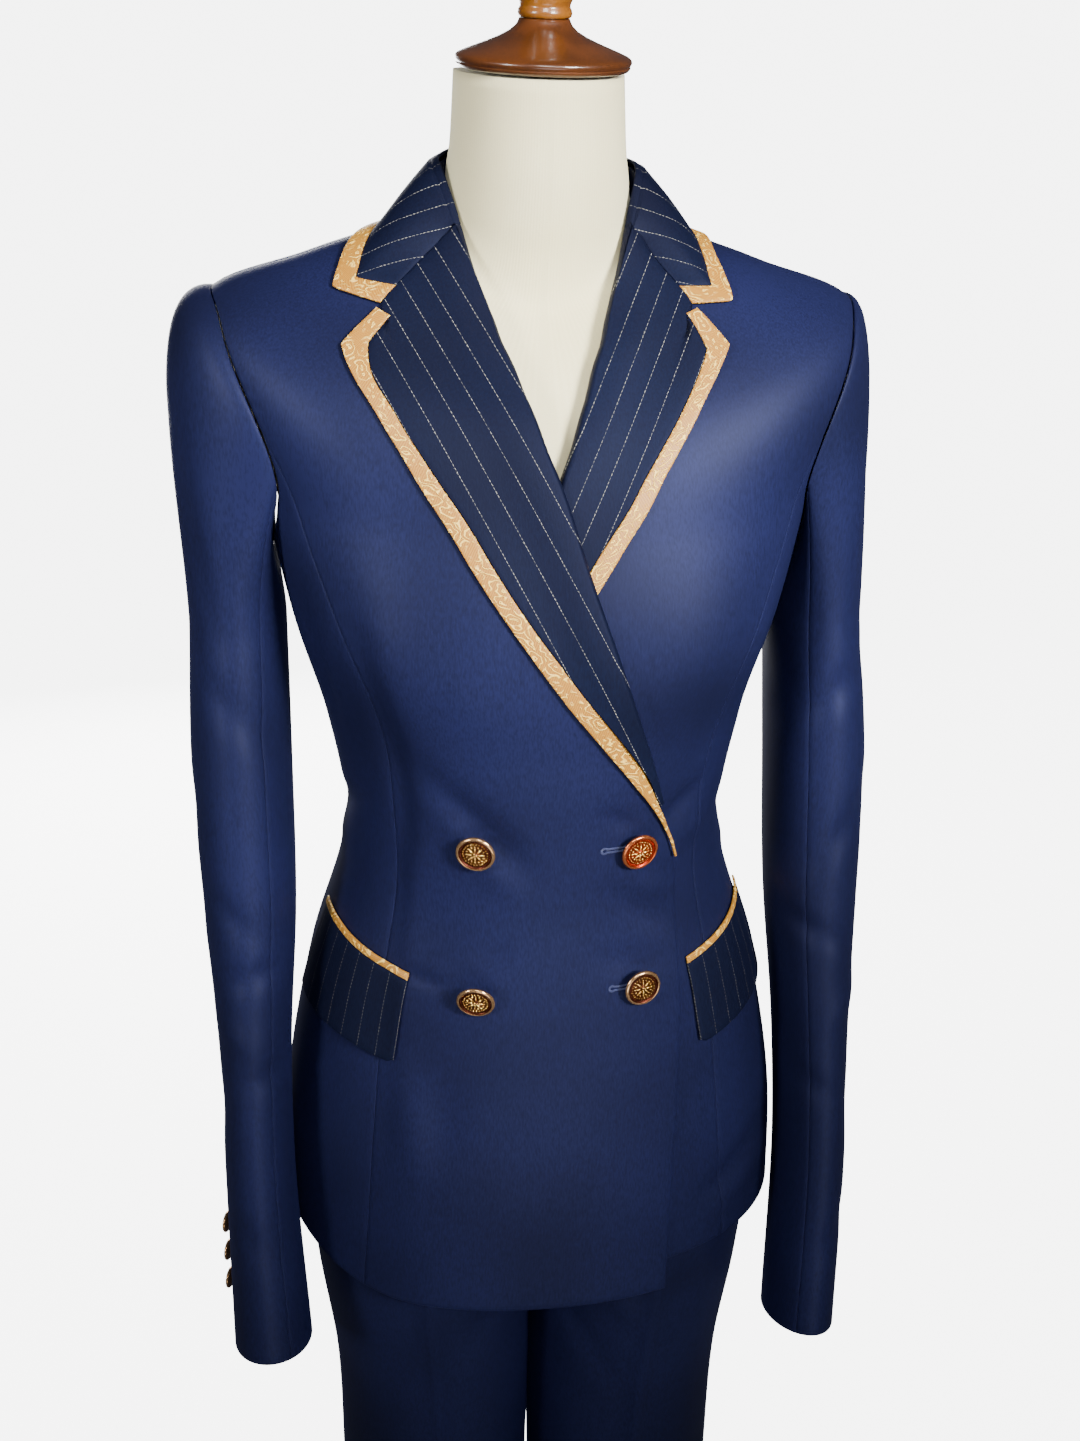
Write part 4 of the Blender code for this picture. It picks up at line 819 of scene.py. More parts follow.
# Powers with which the top of a lapel and the front of the collar bend to the gorge
LAPEL_BLEND, COLLAR_BLEND = 6, 8
ROLL_DEPTH, ROLL_SHARE, ROLL_START, ROLL_STEPS = 0.0030, 0.45, 0.0005, 9
COLLAR_LIFT = LAYER_GAP + HALF + 0.0005
COLLAR_LENGTH, COLLAR_COLUMNS = 0.20, 11
COLLAR_SWELL, SWELL_OVER = 0.0012, 1.5
STAND_TOP, STAND_FOOT = 0.0042, 0.0013
STAND_LENGTH, STAND_HEIGHT, STAND_RADIUS = 0.15, 0.025, 0.06
BAND_STEP, BAND_COLUMNS = 0.0030, 5
CROSSING, CROSSING_REACH = 1.255, 0.05
# How far the lapel's soft roll stands off, how wide it is, and how far its outer edge lifts
ROLL_BULGE, ROLL_WIDTH, EDGE_LIFT = 0.0022, 0.016, 0.0010
# Planes of the stripes: turns per metre of x, y and z, and the place of the first one
STRIPE_PLANES = {
    "right": (np.array([-64.3, -7.3, -33.0]), 42.84), "left": (np.array([72.6, -10.7, -31.8]), 41.37)
}
BACKS = ["jacket_back_right", "jacket_back_left"]


def lapel_lift(side, angle, height):
    under = 0.0 if side == "left" else front_lift(angle, height)
    return under + body_creases(angle, height)


def looseness(side, height):
    """The left lapel lies flat below the crossing, where the right front covers it."""
    return 1.0 if side == "right" else ease((height - CROSSING) / CROSSING_REACH)


def striped_grain(side, middle):
    plane, start = STRIPE_PLANES[side]
    along = unit(np.cross(plane, np.array([0, -1.0, 0])))
    return np.stack([(middle @ plane + start) * STRIPE_PITCH, middle @ along], -1)


def rolled(fold, normal, leaf, leaf_normal, scale, rise):
    """A leaf of cloth with its turn over a fold in front of its first column. rise is the height
    of the leaf's middle above the fold."""
    inwards = unit(leaf[:, 0] - fold)
    inwards = unit(inwards - normal * (inwards * normal).sum(-1, keepdims=True))
    turn = np.linspace(0, math.pi / 2, ROLL_STEPS)[:-1]
    depth, height = (ROLL_DEPTH - ROLL_START) * scale, CLOTH + rise
    columns, normals = [], []
    for t in turn:
        away = ROLL_START * scale + depth * (1 - math.cos(t))
        up = -CLOTH + height * math.sin(t)
        columns.append(fold + inwards * away + normal * up)
        tilt = -inwards * math.cos(t) / depth + normal * math.sin(t) / height
        normals.append(unit(tilt))
    middle = np.concatenate([np.stack(columns, 1), leaf], 1)
    return middle, np.concatenate([np.stack(normals, 1), leaf_normal], 1)


def lapel(side):
    rows = spread(LAPEL_LENGTH)[0]
    heights = LAPEL_FOOT + (GORGE[side][0][1] - LAPEL_FOOT) * rows
    roll = np.column_stack([-smooth(FRONT_EDGE, heights)[..., 0], heights])
    inner_points = [point for point in LAPEL_INNER[side] if point[1] >= LAPEL_FOOT]
    inner_line = line_through(inner_points[::-1], rows)
    inner_line[:, 0] -= degrees(LAPEL_SEAM, *inner_line.T)
    width = np.linalg.norm(torso(*roll.T) - torso(*inner_line.T), axis=-1)
    scale = np.minimum(width * ROLL_SHARE / ROLL_DEPTH, 1)[:, None]
    top = np.array([*GORGE[side], NOTCH_INNER[side], inner_line[-1]])
    start = scale * ROLL_DEPTH / width[:, None]
    index = spread(np.maximum(width, LEAST_LAPEL))
    across = (start + (1 - start) * index)[..., None]
    ruled = roll[:, None] * (1 - across) + inner_line[:, None] * across
    stops = np.linspace(0, 1, len(top))
    top = np.stack([np.interp(index[-1], stops, top[:, k]) for k in (0, 1)], -1)
    angle, height = on_side(side, ruled + rows[:, None, None] ** LAPEL_BLEND * (top - ruled[-1]))
    distance = across[..., 0] * width[:, None]
    bulge = ROLL_BULGE * np.exp(-(((distance - ROLL_WIDTH / 2) / ROLL_WIDTH) ** 2)) * scale**2
    rise = LAYER_GAP + HALF + (bulge + EDGE_LIFT * index**3) * looseness(side, height)
    leaf, leaf_normal = laid(angle, height, lapel_lift(side, angle, height) + rise)
    turn, at = on_side(side, roll)
    fold, fold_normal = laid(turn, at, lapel_lift(side, turn, at))
    middle, normal = rolled(fold, fold_normal, leaf, leaf_normal, scale, rise[:, :1])
    grain = striped_grain(side, middle)
    sewn(f"lapel_{side}", middle, normal, grain, STRIPED, "folded", [f"jacket_front_{side}"], True)


def band(name, middle, normal, rests_on):
    """A narrow brocade band. Its grain runs along it."""
    wide = np.linalg.norm(middle - middle[:, :1], axis=-1)
    grain = np.stack([wide, along_line(middle[:, 0])[:, None] + 0 * wide], -1)
    sewn(name, middle, normal, grain, BROCADE, "folded", rests_on)


def band_between(line, edge):
    """Points from a band's inner line to its edge, as (angle, height), in rows along it."""
    width = np.linalg.norm(torso(*line.T) - torso(*edge.T), axis=-1)
    across = spread(width, count=BAND_COLUMNS)[..., None]
    return line[:, None] * (1 - across) + edge[:, None] * across


def lapel_trim(side):
    shares = spread(LAPEL_LENGTH, BAND_STEP)[0, : -len(RIM)]
    end = spread(NOTCH_EDGE, BAND_STEP)[0, 1:, None]
    lines = []
    for outline, notch in ((LAPEL_INNER, NOTCH_INNER), (LAPEL_EDGE, NOTCH)):
        line = line_through(outline[side][::-1], shares / shares[-1])
        lines.append(np.concatenate([line, line[-1] + (np.array(notch[side]) - line[-1]) * end]))
    angle, height = on_side(side, band_between(*lines))
    rise = lapel_lift(side, angle, height) + LAYER_GAP + HALF + EDGE_LIFT * looseness(side, height)
    band(f"lapel_trim_{side}", *laid(angle, height, rise), [f"jacket_front_{side}"])


def collar_lines(side, stations):
    """The fold, the band's inner line and the edge of half a collar at each station."""
    rows = np.array(COLLAR[side])
    gorge = np.array([GORGE[side][0][0], *GORGE[side][4], *GORGE[side][5]])
    stations = stations[:, None]
    front = gorge + (rows[0] - gorge) * stations
    table = np.column_stack([np.arange(1, len(rows) + 1), rows])
    back = smooth(table, np.maximum(stations[:, 0], 1))
    values = np.where(stations < 1, front, back)
    fold = np.column_stack([values[:, 0], smooth(COLLAR_FOLD, values[:, 0])[:, 0]])
    return fold, values[:, 1:3], values[:, 3:5]


def half_stations():
    """Stations from the gorge to the centre back, with a rolled edge at the gorge alone."""
    shares = spread(COLLAR_LENGTH * 2)[0]
    return shares[: len(shares) // 2 + 1] / shares[len(shares) // 2] * len(COLLAR["right"])


def collar_half(side):
    stations = half_stations()
    fold_line, inner_line, _ = collar_lines(side, stations)
    share = (stations / stations[-1])[:, None, None]
    angle, height = on_side(side, fold_line)
    fold, normal = torso(angle, height), torso_normal(angle, height)
    start = fold + normal * COLLAR_LIFT
    end, end_normal = laid(*on_side(side, inner_line), COLLAR_LIFT)
    width = np.linalg.norm(end - start, axis=-1)
    across = spread(width, count=COLLAR_COLUMNS)[..., None]
    across = across + (1 - across) * (ROLL_DEPTH / width)[:, None, None]
    gorge = np.array(GORGE[side][:5])
    stops = np.linspace(0, 1, len(gorge))
    gorge = np.stack([np.interp(across[0, :, 0], stops, gorge[:, k]) for k in (0, 1)], -1)
    front = torso(*on_side(side, gorge), COLLAR_LIFT)
    leaf = start[:, None] * (1 - across) + end[:, None] * across
    leaf = leaf + (1 - share) ** COLLAR_BLEND * (front - leaf[0])
    leaf_normal = unit(normal[:, None] * (1 - across) + end_normal[:, None] * across)
    swell = np.sin(np.pi * across) * COLLAR_SWELL * ease(stations / SWELL_OVER)[:, None, None]
    middle, normals = rolled(fold, normal, leaf + leaf_normal * swell, leaf_normal, 1.0, COLLAR_LIFT)
    # Stripes stand square to the fold, evenly spaced along it from the centre back
    step = np.diff(middle[:, 0], axis=0)
    along = along_line(middle[:, 0])
    onward = unit(np.concatenate([step, step[-1:]]))[:, None]
    ahead = ((middle - middle[:, :1]) * onward).sum(-1)
    wide = np.linalg.norm(middle - middle[:, :1], axis=-1)
    return middle, normals, np.stack([(along[-1] - along)[:, None] - ahead, wide], -1)


def collar_trim_half(side):
    _, line, edge = collar_lines(side, half_stations())
    return laid(*on_side(side, band_between(line, edge)), COLLAR_LIFT)


def both_halves(make_half):
    """The grids of a right half and a left half, joined at the centre back."""
    right, left = (make_half(side) for side in SIDES)
    return [np.concatenate([one, other[:-1][::-1]]) for one, other in zip(right, left)]


def collar_pieces():
    sewn("collar", *both_halves(collar_half), STRIPED, "folded", BACKS, True)
    band("collar_trim", *both_halves(collar_trim_half), BACKS)
    half = COLLAR_FOLD[0][0] + (180 - COLLAR_FOLD[0][0]) * spread(STAND_LENGTH)[0, : -len(RIM)]
    angle = np.concatenate([half, [180], 360 - half[::-1]])
    top = smooth(COLLAR_FOLD, 180 - np.abs(180 - angle))[:, 0] - STAND_TOP
    foot = NECKLINE + STAND_FOOT
    height = foot + (top - foot) * spread(STAND_HEIGHT)[0][:, None]
    angle = angle + 0 * height
    grain = np.stack([np.radians(angle) * STAND_RADIUS, height], -1)
    sewn("collar_stand", *laid(angle, height, -HALF), grain, STRIPED, "draped", BACKS)


# Pockets ----------------------------------------------------------------------------------

FLAP_TOP = ((36.8, 0.98), (44, 0.983), (52, 0.986), (60, 0.989), (68, 0.9915), (82, 0.9935))
FLAP_BOTTOM = ((37.2, 0.9228), (38.8, 0.9206), (42, 0.9212), (50, 0.924), (60, 0.927), (83, 0.931))
FLAP_WIDTH, FLAP_DEPTH, FLAP_EDGE_LIFT = 0.105, 0.062, 0.0012
WELT_HEIGHT, WELT_RISE = 0.0048, 0.0003


def pocket_lift(angle, height):
    return front_lift(angle, height) * (angle < 0) + body_creases(angle, height) + LAYER_GAP + HALF


def pocket(side):
    rests_on = [f"jacket_front_{side}", f"jacket_side_{side}"]
    along = spread(FLAP_WIDTH)[0]
    top, bottom = line_through(FLAP_TOP, along), line_through(FLAP_BOTTOM, along)
    t = spread(FLAP_DEPTH)[0][:, None, None]
    angle, height = on_side(side, bottom * (1 - t) + top * t)
    rise = pocket_lift(angle, height) + FLAP_EDGE_LIFT * (1 - t[..., 0]) ** 2
    grain = np.stack([along * FLAP_WIDTH + 0 * height, height], -1)
    # The flap's stripes are dimmed by painted shade
    sewn(f"flap_{side}", *laid(angle, height, rise), grain, SHADE_DIMMED_STRIPED, "hung", rests_on)
    low = line_through(FLAP_TOP, spread(FLAP_WIDTH, BAND_STEP)[0]) + np.array([0, SEAM])
    angle, height = on_side(side, band_between(low, low + np.array([0, WELT_HEIGHT])))
    crown = WELT_RISE * np.sin(np.linspace(0, math.pi, angle.shape[1]))
    band(f"welt_{side}", *laid(angle, height, pocket_lift(angle, height) + crown), rests_on)


# Turned pieces and buttons ----------------------------------------------------------------


def lathe(profile, segments):
    """A shape turned from (radius, height) pairs that start and end on the axis."""
    work = bmesh.new()
    verts = [work.verts.new((r, 0, z)) for r, z in profile]
    edges = [work.edges.new(pair) for pair in zip(verts, verts[1:])]
    whole = {"axis": (0, 0, 1), "cent": (0, 0, 0), "steps": segments, "angle": math.tau}
    bmesh.ops.spin(work, geom=verts + edges, use_merge=True, **whole)
    bmesh.ops.remove_doubles(work, verts=work.verts, dist=1e-6)
    bmesh.ops.recalc_face_normals(work, faces=work.faces)
    return work


def finished(work, name, place, finishes):
    """The shape set in its place, smooth, as a piece of the scene."""
    mesh = bpy.data.meshes.new(name)
    work.transform(place)
    work.to_mesh(mesh)
    work.free()
    for finish in finishes:
        mesh.materials.append(finish)
    mesh.shade_smooth()
    return placed(name, mesh)


def turned(name, profile, finish, segments, place):
    made = finished(lathe(profile, segments), f"{name}_turned", place, (finish,))
    made.data.set_sharp_from_angle(angle=math.radians(50))
    settle(made, name)


def repeat_tree():
    """A Geometry Nodes tree that sets one rounded grain after another along a path of edges."""
    tree = bpy.data.node_groups.new("grains_along_a_path", "GeometryNodeTree")
    asked = {
        "Geometry": "Geometry", "Spacing": "Float", "Size": "Vector", "Slant": "Float", "Finish": "Material"
    }
    for name, kind in asked.items():
        tree.interface.new_socket(name, in_out="INPUT", socket_type=f"NodeSocket{kind}")
    tree.interface.new_socket("Geometry", in_out="OUTPUT", socket_type="NodeSocketGeometry")
    given = add(tree, "NodeGroupInput").outputs
    curve = add(tree, "GeometryNodeMeshToCurve", Mesh=given["Geometry"])
    even = add(tree, "GeometryNodeResampleCurve", mode="LENGTH", Curve=curve, Length=given["Spacing"])
    tangent = add(tree, "GeometryNodeInputTangent")
    aligned = add(tree, "FunctionNodeAlignRotationToVector", axis="X", pivot_axis="Z", Vector=tangent)
    slant = add(tree, "CombineXYZ", Z=given["Slant"])
    slanted = add(
        tree, "FunctionNodeRotateRotation", rotation_space="LOCAL", Rotation=aligned, Rotate_By=slant
    )
    grain = add(tree, "GeometryNodeMeshUVSphere", Segments=8, Rings=6, Radius=1.0)
    each = {"Points": even, "Instance": grain, "Rotation": slanted, "Scale": given["Size"]}
    row = add(tree, "GeometryNodeInstanceOnPoints", **each)
    soft = add(tree, "GeometryNodeSetShadeSmooth", Geometry=row)
    real = add(tree, "GeometryNodeRealizeInstances", Geometry=soft)
    done = add(tree, "GeometryNodeSetMaterial", Geometry=real, Material=given["Finish"])
    add(tree, "NodeGroupOutput", Geometry=done)
    return tree


GRAINS = repeat_tree()


def grains(path, spacing, size, slant, finish):
    """A mesh of rounded grains set along a closed path of points."""
    mesh = bpy.data.meshes.new("path")
    edges = [(i, (i + 1) % len(path)) for i in range(len(path))]
    mesh.from_pydata([tuple(p) for p in path], edges, [])
    carrier = placed("path", mesh)
    modifier = carrier.modifiers.new("grains", "NODES")
    modifier.node_group = GRAINS
    asked = {"Spacing": spacing, "Size": size, "Slant": slant, "Finish": finish}
    for socket in GRAINS.interface.items_tree:
        if socket.name in asked:
            modifier[socket.identifier] = asked[socket.name]
    view = bpy.context.evaluated_depsgraph_get()
    made = bpy.data.meshes.new_from_object(carrier.evaluated_get(view))
    bpy.data.objects.remove(carrier)
    return made


def circle(radius, height, count=48):
    turn = np.linspace(0, math.tau, count, endpoint=False)
    return np.column_stack([radius * np.cos(turn), radius * np.sin(turn), height + 0 * turn])


# Shares of the radius and heights in metres of a stamped button with a raised rim
BUTTON_PROFILE = (
    (0, 0), (0.18, 0), (0.2, 0.0002), (0.2, 0.0022), (0.24, 0.0024), (0.8, 0.0027), (0.93, 0.0031),
    (0.985, 0.0037), (1, 0.0043), (0.985, 0.0049), (0.95, 0.0054), (0.9, 0.0057), (0.85, 0.0056),
    (0.81, 0.0052), (0.785, 0.0048), (0.76, 0.0046), (0.73, 0.0046), (0.71, 0.0047), (0.6, 0.0047),
    (0.55, 0.0048), (0.3, 0.005), (0.13, 0.0052), (0.115, 0.0055), (0.08, 0.0058), (0.04, 0.006),
    (0, 0.006),
)
# Height of the field that carries the relief, and the shares of the radius between which it lies
BUTTON_TOP = 0.0047
FIELD_FROM, FIELD_TO, FIELD_LOW = 0.02, 0.84, 0.9
# Radius of each ring of relief, number of grains, size along, across and up, slant, metal
BUTTON_RINGS = (
    (0.755, 44, (0.052, 0.024, 0.030), 0.75, 1),
    (0.620, 26, (0.034, 0.034, 0.050), 0.0, 2),
    (0.270, 8, (0.052, 0.150, 0.085), 0.0, 2),
    (0.455, 16, (0.030, 0.072, 0.060), 0.5, 2),
    (0.075, 3, (0.060, 0.060, 0.130), 0.0, 2),
)
BUTTON_RADIUS, CUFF_BUTTON_RADIUS, BUTTON_CLEAR = 0.0125, 0.0076, 0.0006
# Place of each front button as angle and height, and how far it tips down in degrees
BUTTONS = {
    ("right", "upper"): (21.0, 1.0815, 3), ("left", "upper"): (22.3, 1.0765, 3),
    ("right", "lower"): (18.7, 0.9775, 24), ("left", "lower"): (21.6, 0.9770, 8),
}
CUFF_BUTTON_SHARES, CUFF_BUTTON_TURN, CUFF_BUTTON_FLATNESS = (0.925, 0.885, 0.845), 342.0, 0.8
# Metals of a button's rim, its sunk field and its raised work
GILT_BUTTON, RED_BUTTON = (RIM_GILT, COPPER_FIELD, RELIEF_GILT), (RED_RIM, RED_FIELD, RELIEF_GILT)


def button(name, radius, place, metals, flat=1.0, segments=64):
    """A stamped button: rope border, ring of beads and a rosette of leaves round a dome."""
    work = lathe([(q * radius, z * flat) for q, z in BUTTON_PROFILE], segments)
    top = BUTTON_TOP * flat
    for face in work.faces:
        middle = face.calc_center_median()
        share = math.hypot(middle.x, middle.y) / radius
        face.material_index = int(FIELD_FROM < share < FIELD_TO and middle.z > top * FIELD_LOW)
    for ring, count, size, slant, metal in BUTTON_RINGS:
        spacing = math.tau * ring * radius / count
        part = grains(circle(ring * radius, top), spacing, [q * radius for q in size], slant, metals[metal])
        before = len(work.faces)
        work.from_mesh(part)
        work.faces.ensure_lookup_table()
        for face in work.faces[before:]:
            face.material_index = metal
        bpy.data.meshes.remove(part)
    settle(finished(work, f"{name}_stamped", place, metals), name)


def facing(point, normal, droop=0.0):
    """A place whose +Z points along the normal, tipped forwards and down by droop degrees."""
    z = Vector(normal).normalized()
    turn = z.to_track_quat("Z", "Y").to_matrix().to_4x4()
    tip = Matrix.Rotation(math.radians(droop), 4, "X")
    return Matrix.Translation(Vector(point)) @ tip @ turn


def front_buttons():
    for (side, row), (turn, height, droop) in BUTTONS.items():
        at = np.array(mirrored(side, turn)), np.array(height)
        clear = BUTTON_CLEAR + BUTTON_RADIUS * math.sin(math.radians(droop))
        base = torso(*at, front_lift(*at) + body_creases(*at) + clear)
        metals = RED_BUTTON if (side, row) == ("left", "upper") else GILT_BUTTON
        button(f"button_{row}_{side}", BUTTON_RADIUS, facing(base, torso_normal(*at), droop), metals)


def cuff_buttons():
    for side in SIDES:
        for number, share in enumerate(CUFF_BUTTON_SHARES, 1):
            base = sleeve_point(side, CUFF_BUTTON_TURN, share, BUTTON_CLEAR)
            place = facing(base, sleeve_point(side, CUFF_BUTTON_TURN, share, 1.0) - base)
            name = f"cuff_button_{number}_{side}"
            button(name, CUFF_BUTTON_RADIUS, place, GILT_BUTTON, CUFF_BUTTON_FLATNESS, 40)


# Buttonholes: angle of the inner end and height; the slot's length, half width and eyelet
BUTTONHOLES = ((13.2, 1.0775), (14.6, 0.9765))
SLOT_LENGTH, SLOT_HALF, EYELET = 0.020, 0.0012, 0.0019
STITCH_SPACING, STITCH_LIFT = 0.00052, 0.00015
STITCH = (0.00028, 0.00080, 0.00030)


def buttonhole(number, angle, height):
    """Purl stitches round a slot and its eyelet, sewn on the right front along its curve."""
    turn = np.radians(np.linspace(40, 320, 22))
    eye = np.column_stack([EYELET * np.cos(turn), EYELET * np.sin(turn)])
    run = np.linspace(eye[0, 0], SLOT_LENGTH, 40)[1:]
    far = np.radians(np.linspace(80, -80, 7))
    end = np.column_stack([SLOT_LENGTH + SLOT_HALF * np.cos(far), SLOT_HALF * np.sin(far)])
    low = np.column_stack([run, SLOT_HALF + 0 * run])
    path = np.concatenate([eye[::-1], low, end, low[::-1] * (1, -1)])
    mesh = grains(np.column_stack([path, 0 * path[:, 0]]), STITCH_SPACING, STITCH, 0.0, SILK)
    points = np.empty(len(mesh.vertices) * 3)
    mesh.vertices.foreach_get("co", points)
    along, beside, above = points.reshape(-1, 3).T
    turns = angle + along * degrees(1.0, np.array(angle), np.array(height))
    rise = front_lift(turns, height + 0 * turns) + body_creases(turns, height + beside) + STITCH_LIFT
    one, other = torso_ring(angle + 0.5, np.array(height)), torso_ring(angle - 0.5, np.array(height))
    up = np.cross(torso_normal(np.array(angle), np.array(height)), unit(one - other))
    set_out = torso(turns, height, rise + above) + up * beside[:, None]
    mesh.vertices.foreach_set("co", set_out.ravel())
    mesh.update()
    mesh.materials.clear()
    mesh.materials.append(SILK)
    settle(placed(f"buttonhole_{number}", mesh))


# Trousers ---------------------------------------------------------------------------------

# Height, centre x, half width, front, back, squareness
LEG = (
    (0.028, 0.083, 0.077, 0.076, 0.079, 2), (0.25, 0.081, 0.0745, 0.074, 0.078, 2),
    (0.48, 0.0756, 0.0745, 0.077, 0.082, 2), (0.6, 0.0761, 0.0757, 0.088, 0.093, 2.1),
    (0.7, 0.0818, 0.0814, 0.102, 0.106, 2.1), (0.77, 0.0824, 0.0846, 0.112, 0.116, 2.1),
    (0.83, 0.053, 0.115, 0.12, 0.122, 2.1), (0.88, 0.023, 0.139, 0.121, 0.119, 2.1),
    (0.95, 0, 0.1485, 0.118, 0.1075, 2.1), (1.03, 0, 0.1285, 0.112, 0.093, 2.1),
)
# The pressed crease: depth, top, the height it fades over, half width in degrees and sharpness
CREASE, CREASE_TOP, CREASE_FADE, CREASE_WIDTH, CREASE_POWER = 0.0045, 0.800, 0.10, 9, 1.4
# Soft creases end at this height, fade over so much and keep off the pressed one by so many degrees
FOLD_TOP, FOLD_FADE, FOLD_OFF = 0.86, 0.05, 14
LEG_RADIUS = 0.08
LEG_STEP, LEG_HALF_GIRTH = 0.0052, 0.27
WAISTBAND = (1.0330, 1.062)


def leg_ring(turn, height, lift=0.0):
    """turn is 90 at the outside of the left leg, 0 at its front crease and -90 inside."""
    x, width, front, back, square = np.moveaxis(smooth(LEG, height), -1, 0)
    t = np.radians(turn)
    c, s = np.cos(t), np.sin(t)
    r = (np.abs(c) ** square + np.abs(s) ** square) ** (-1 / square)
    pressed = CREASE * ease((CREASE_TOP - height) / CREASE_FADE)
    near = np.abs((np.asarray(turn) + 90) % 180 - 90) / CREASE_WIDTH
    crease = pressed * np.maximum(1 - near, 0) ** CREASE_POWER
    depth = np.where(c > 0, front, back) + crease
    return np.stack(
        [x + (width + lift) * s * r, -(depth + lift) * c * r, np.broadcast_to(height, s.shape)], -1
    )


def inner_turn(height, sign):
    """The turn where the ring reaches the body's middle plane, or the inside of the leg."""
    low = np.full(len(height), -90.0)
    high = np.full(len(height), 20.0)
    for _ in range(40):
        mid = (low + high) / 2
        turn = mid if sign > 0 else 180 - mid
        inside = leg_ring(turn, height)[:, 0] < SEAM / 2
        low, high = np.where(inside, mid, low), np.where(inside, high, mid)
    reached = np.where(low < -89.9, -90.0, low)
    return reached if sign > 0 else 180 - reached


def trouser_panel(side, face):
    sign = 1 if face == "front" else -1
    foot, top = LEG[0][0], LEG[-1][0]
    heights = foot + (top - foot) * spread(top - foot, LEG_STEP)[0]
    inside = inner_turn(heights, sign)
    gap = np.degrees(SEAM / 2 / smooth(LEG, heights)[..., 1]) * sign
    outside, inside = 90.0 - gap, inside + np.where(np.abs(inside - 90) == 180, gap, 0)
    # A column stands on the crease, so that its pressed line stays sharp
    crease = 0.0 if sign > 0 else 180.0
    half = spread(LEG_HALF_GIRTH / 2 + 0 * heights, LEG_STEP)
    half = half[:, : -len(RIM) + 1] / half[:, -len(RIM), None]
    one, two = (edge[:, None] + (crease - edge)[:, None] * half for edge in (inside, outside))
    turn = np.concatenate([one, two[:, -2::-1]], 1)
    height = np.broadcast_to(heights[:, None], turn.shape)
    fold = creases(LEG_CREASES[side], turn, height, LEG_METRES)
    fold = fold * ease((FOLD_TOP - height) / FOLD_FADE) * ease(np.abs(turn - crease) / FOLD_OFF)
    middle = leg_ring(turn, height, fold - HALF)
    normal = unit(leg_ring(turn, height, fold) - middle)
    # The legs meet at the body's middle plane and don't pass it
    middle[..., 0] = np.maximum(middle[..., 0], SEAM / 2 + HALF * np.abs(normal[..., 0]))
    mirror = mirror_of(side)
    grain = np.stack([np.radians(turn) * LEG_RADIUS, height], -1)
    sewn(f"trouser_{face}_{side}", middle * mirror, normal * mirror, grain, NAVY, "hung", ["waistband"])


def waistband():
    low, high = WAISTBAND
    up = spread(high - low)[0]
    angle, height = np.meshgrid(np.linspace(0, 360, 121), low + (high - low) * up)
    middle, normal = laid(angle, height, TROUSER_LIFT - HALF)
    thick = HALF * rim_profile(len(up))[:, None, None]
    rings = np.concatenate([middle + normal * thick, (middle - normal * thick)[::-1]])[:, :-1]
    index = np.arange(rings[..., 0].size).reshape(rings.shape[:2])
    around, onward = np.roll(index, -1, axis=1), np.roll(index, -1, axis=0)
    faces = np.stack([index, around, np.roll(around, -1, axis=0), onward], -1).reshape(-1, 4).tolist()
    made = woven("waistband_dressed", rings.reshape(-1, 3), faces, rings[..., ::2], NAVY)
    settle(made, "waistband")
    cut_from(middle)


# Dress form and stand ---------------------------------------------------------------------

# Height of the middle, fall of the front, front radius, back radius, half width
NECK = (
    (1.46, 0.036, 0.051, 0.047, 0.0565), (1.474, 0.025, 0.06, 0.043, 0.0548),
    (1.49, 0.012, 0.0675, 0.037, 0.0524), (1.528, 0.0049, 0.0705, 0.031, 0.0501),
)
NECK_BACK_RISE = 0.35
# The form is slimmer by this gap under the trousers, up to a top and over a fade
FORM_ROUNDING, FORM_HIP_GAP, HIP_TOP, HIP_FADE = 0.022, 0.005, 1.075, 0.050
FORM_HEIGHTS = (
    0.905, 0.945, 1.000, 1.052, 1.095, 1.135, 1.170, 1.205, 1.240, 1.275, 1.305, 1.330, 1.345, 1.360,
    1.375, 1.387, 1.397, 1.405
)
FORM_AROUND, FORM_BETWEEN = 112, 6
FORM_RADIUS, FORM_CAP = 0.0573, 0.985
NECK_TOP, NECK_LEAN = (0, -0.0200, 1.5292), 5.5
NECK_CAP = (
    (0, 0), (0.047, 0), (0.049, 0.0004), (0.0502, 0.0016), (0.0506, 0.0024), (0.0502, 0.003),
    (0.0507, 0.0038), (0.0513, 0.005), (0.0511, 0.0062), (0.0502, 0.0072), (0.0489, 0.008),
    (0.0445, 0.0098), (0.039, 0.0118), (0.032, 0.0144), (0.025, 0.0173), (0.0195, 0.0203), (0.0163, 0.0232),
    (0.0152, 0.0252), (0.0145, 0.0268), (0.014, 0.027), (0, 0.027),
)
FINIAL = (
    (0, 0.0273), (0.0146, 0.0273), (0.0154, 0.028), (0.0158, 0.0296), (0.0155, 0.0312), (0.0147, 0.0326),
    (0.0145, 0.0336), (0.015, 0.0352), (0.0165, 0.0384), (0.0182, 0.0424), (0.0195, 0.0465),
    (0.0201, 0.051), (0.02, 0.0552), (0.0188, 0.06), (0.0165, 0.0645), (0.013, 0.0684), (0.0085, 0.0711),
    (0.004, 0.0723), (0, 0.0725),
)
BASE_RADIUS, BASE_THICKNESS = 0.185, 0.012
POLE_RADIUS, POLE_X, FORM_BOTTOM = 0.0125, -0.084, 0.885
POLE_CLEAR, BASE_HUB, FOOT_RING = 0.0003, 0.0060, 0.002


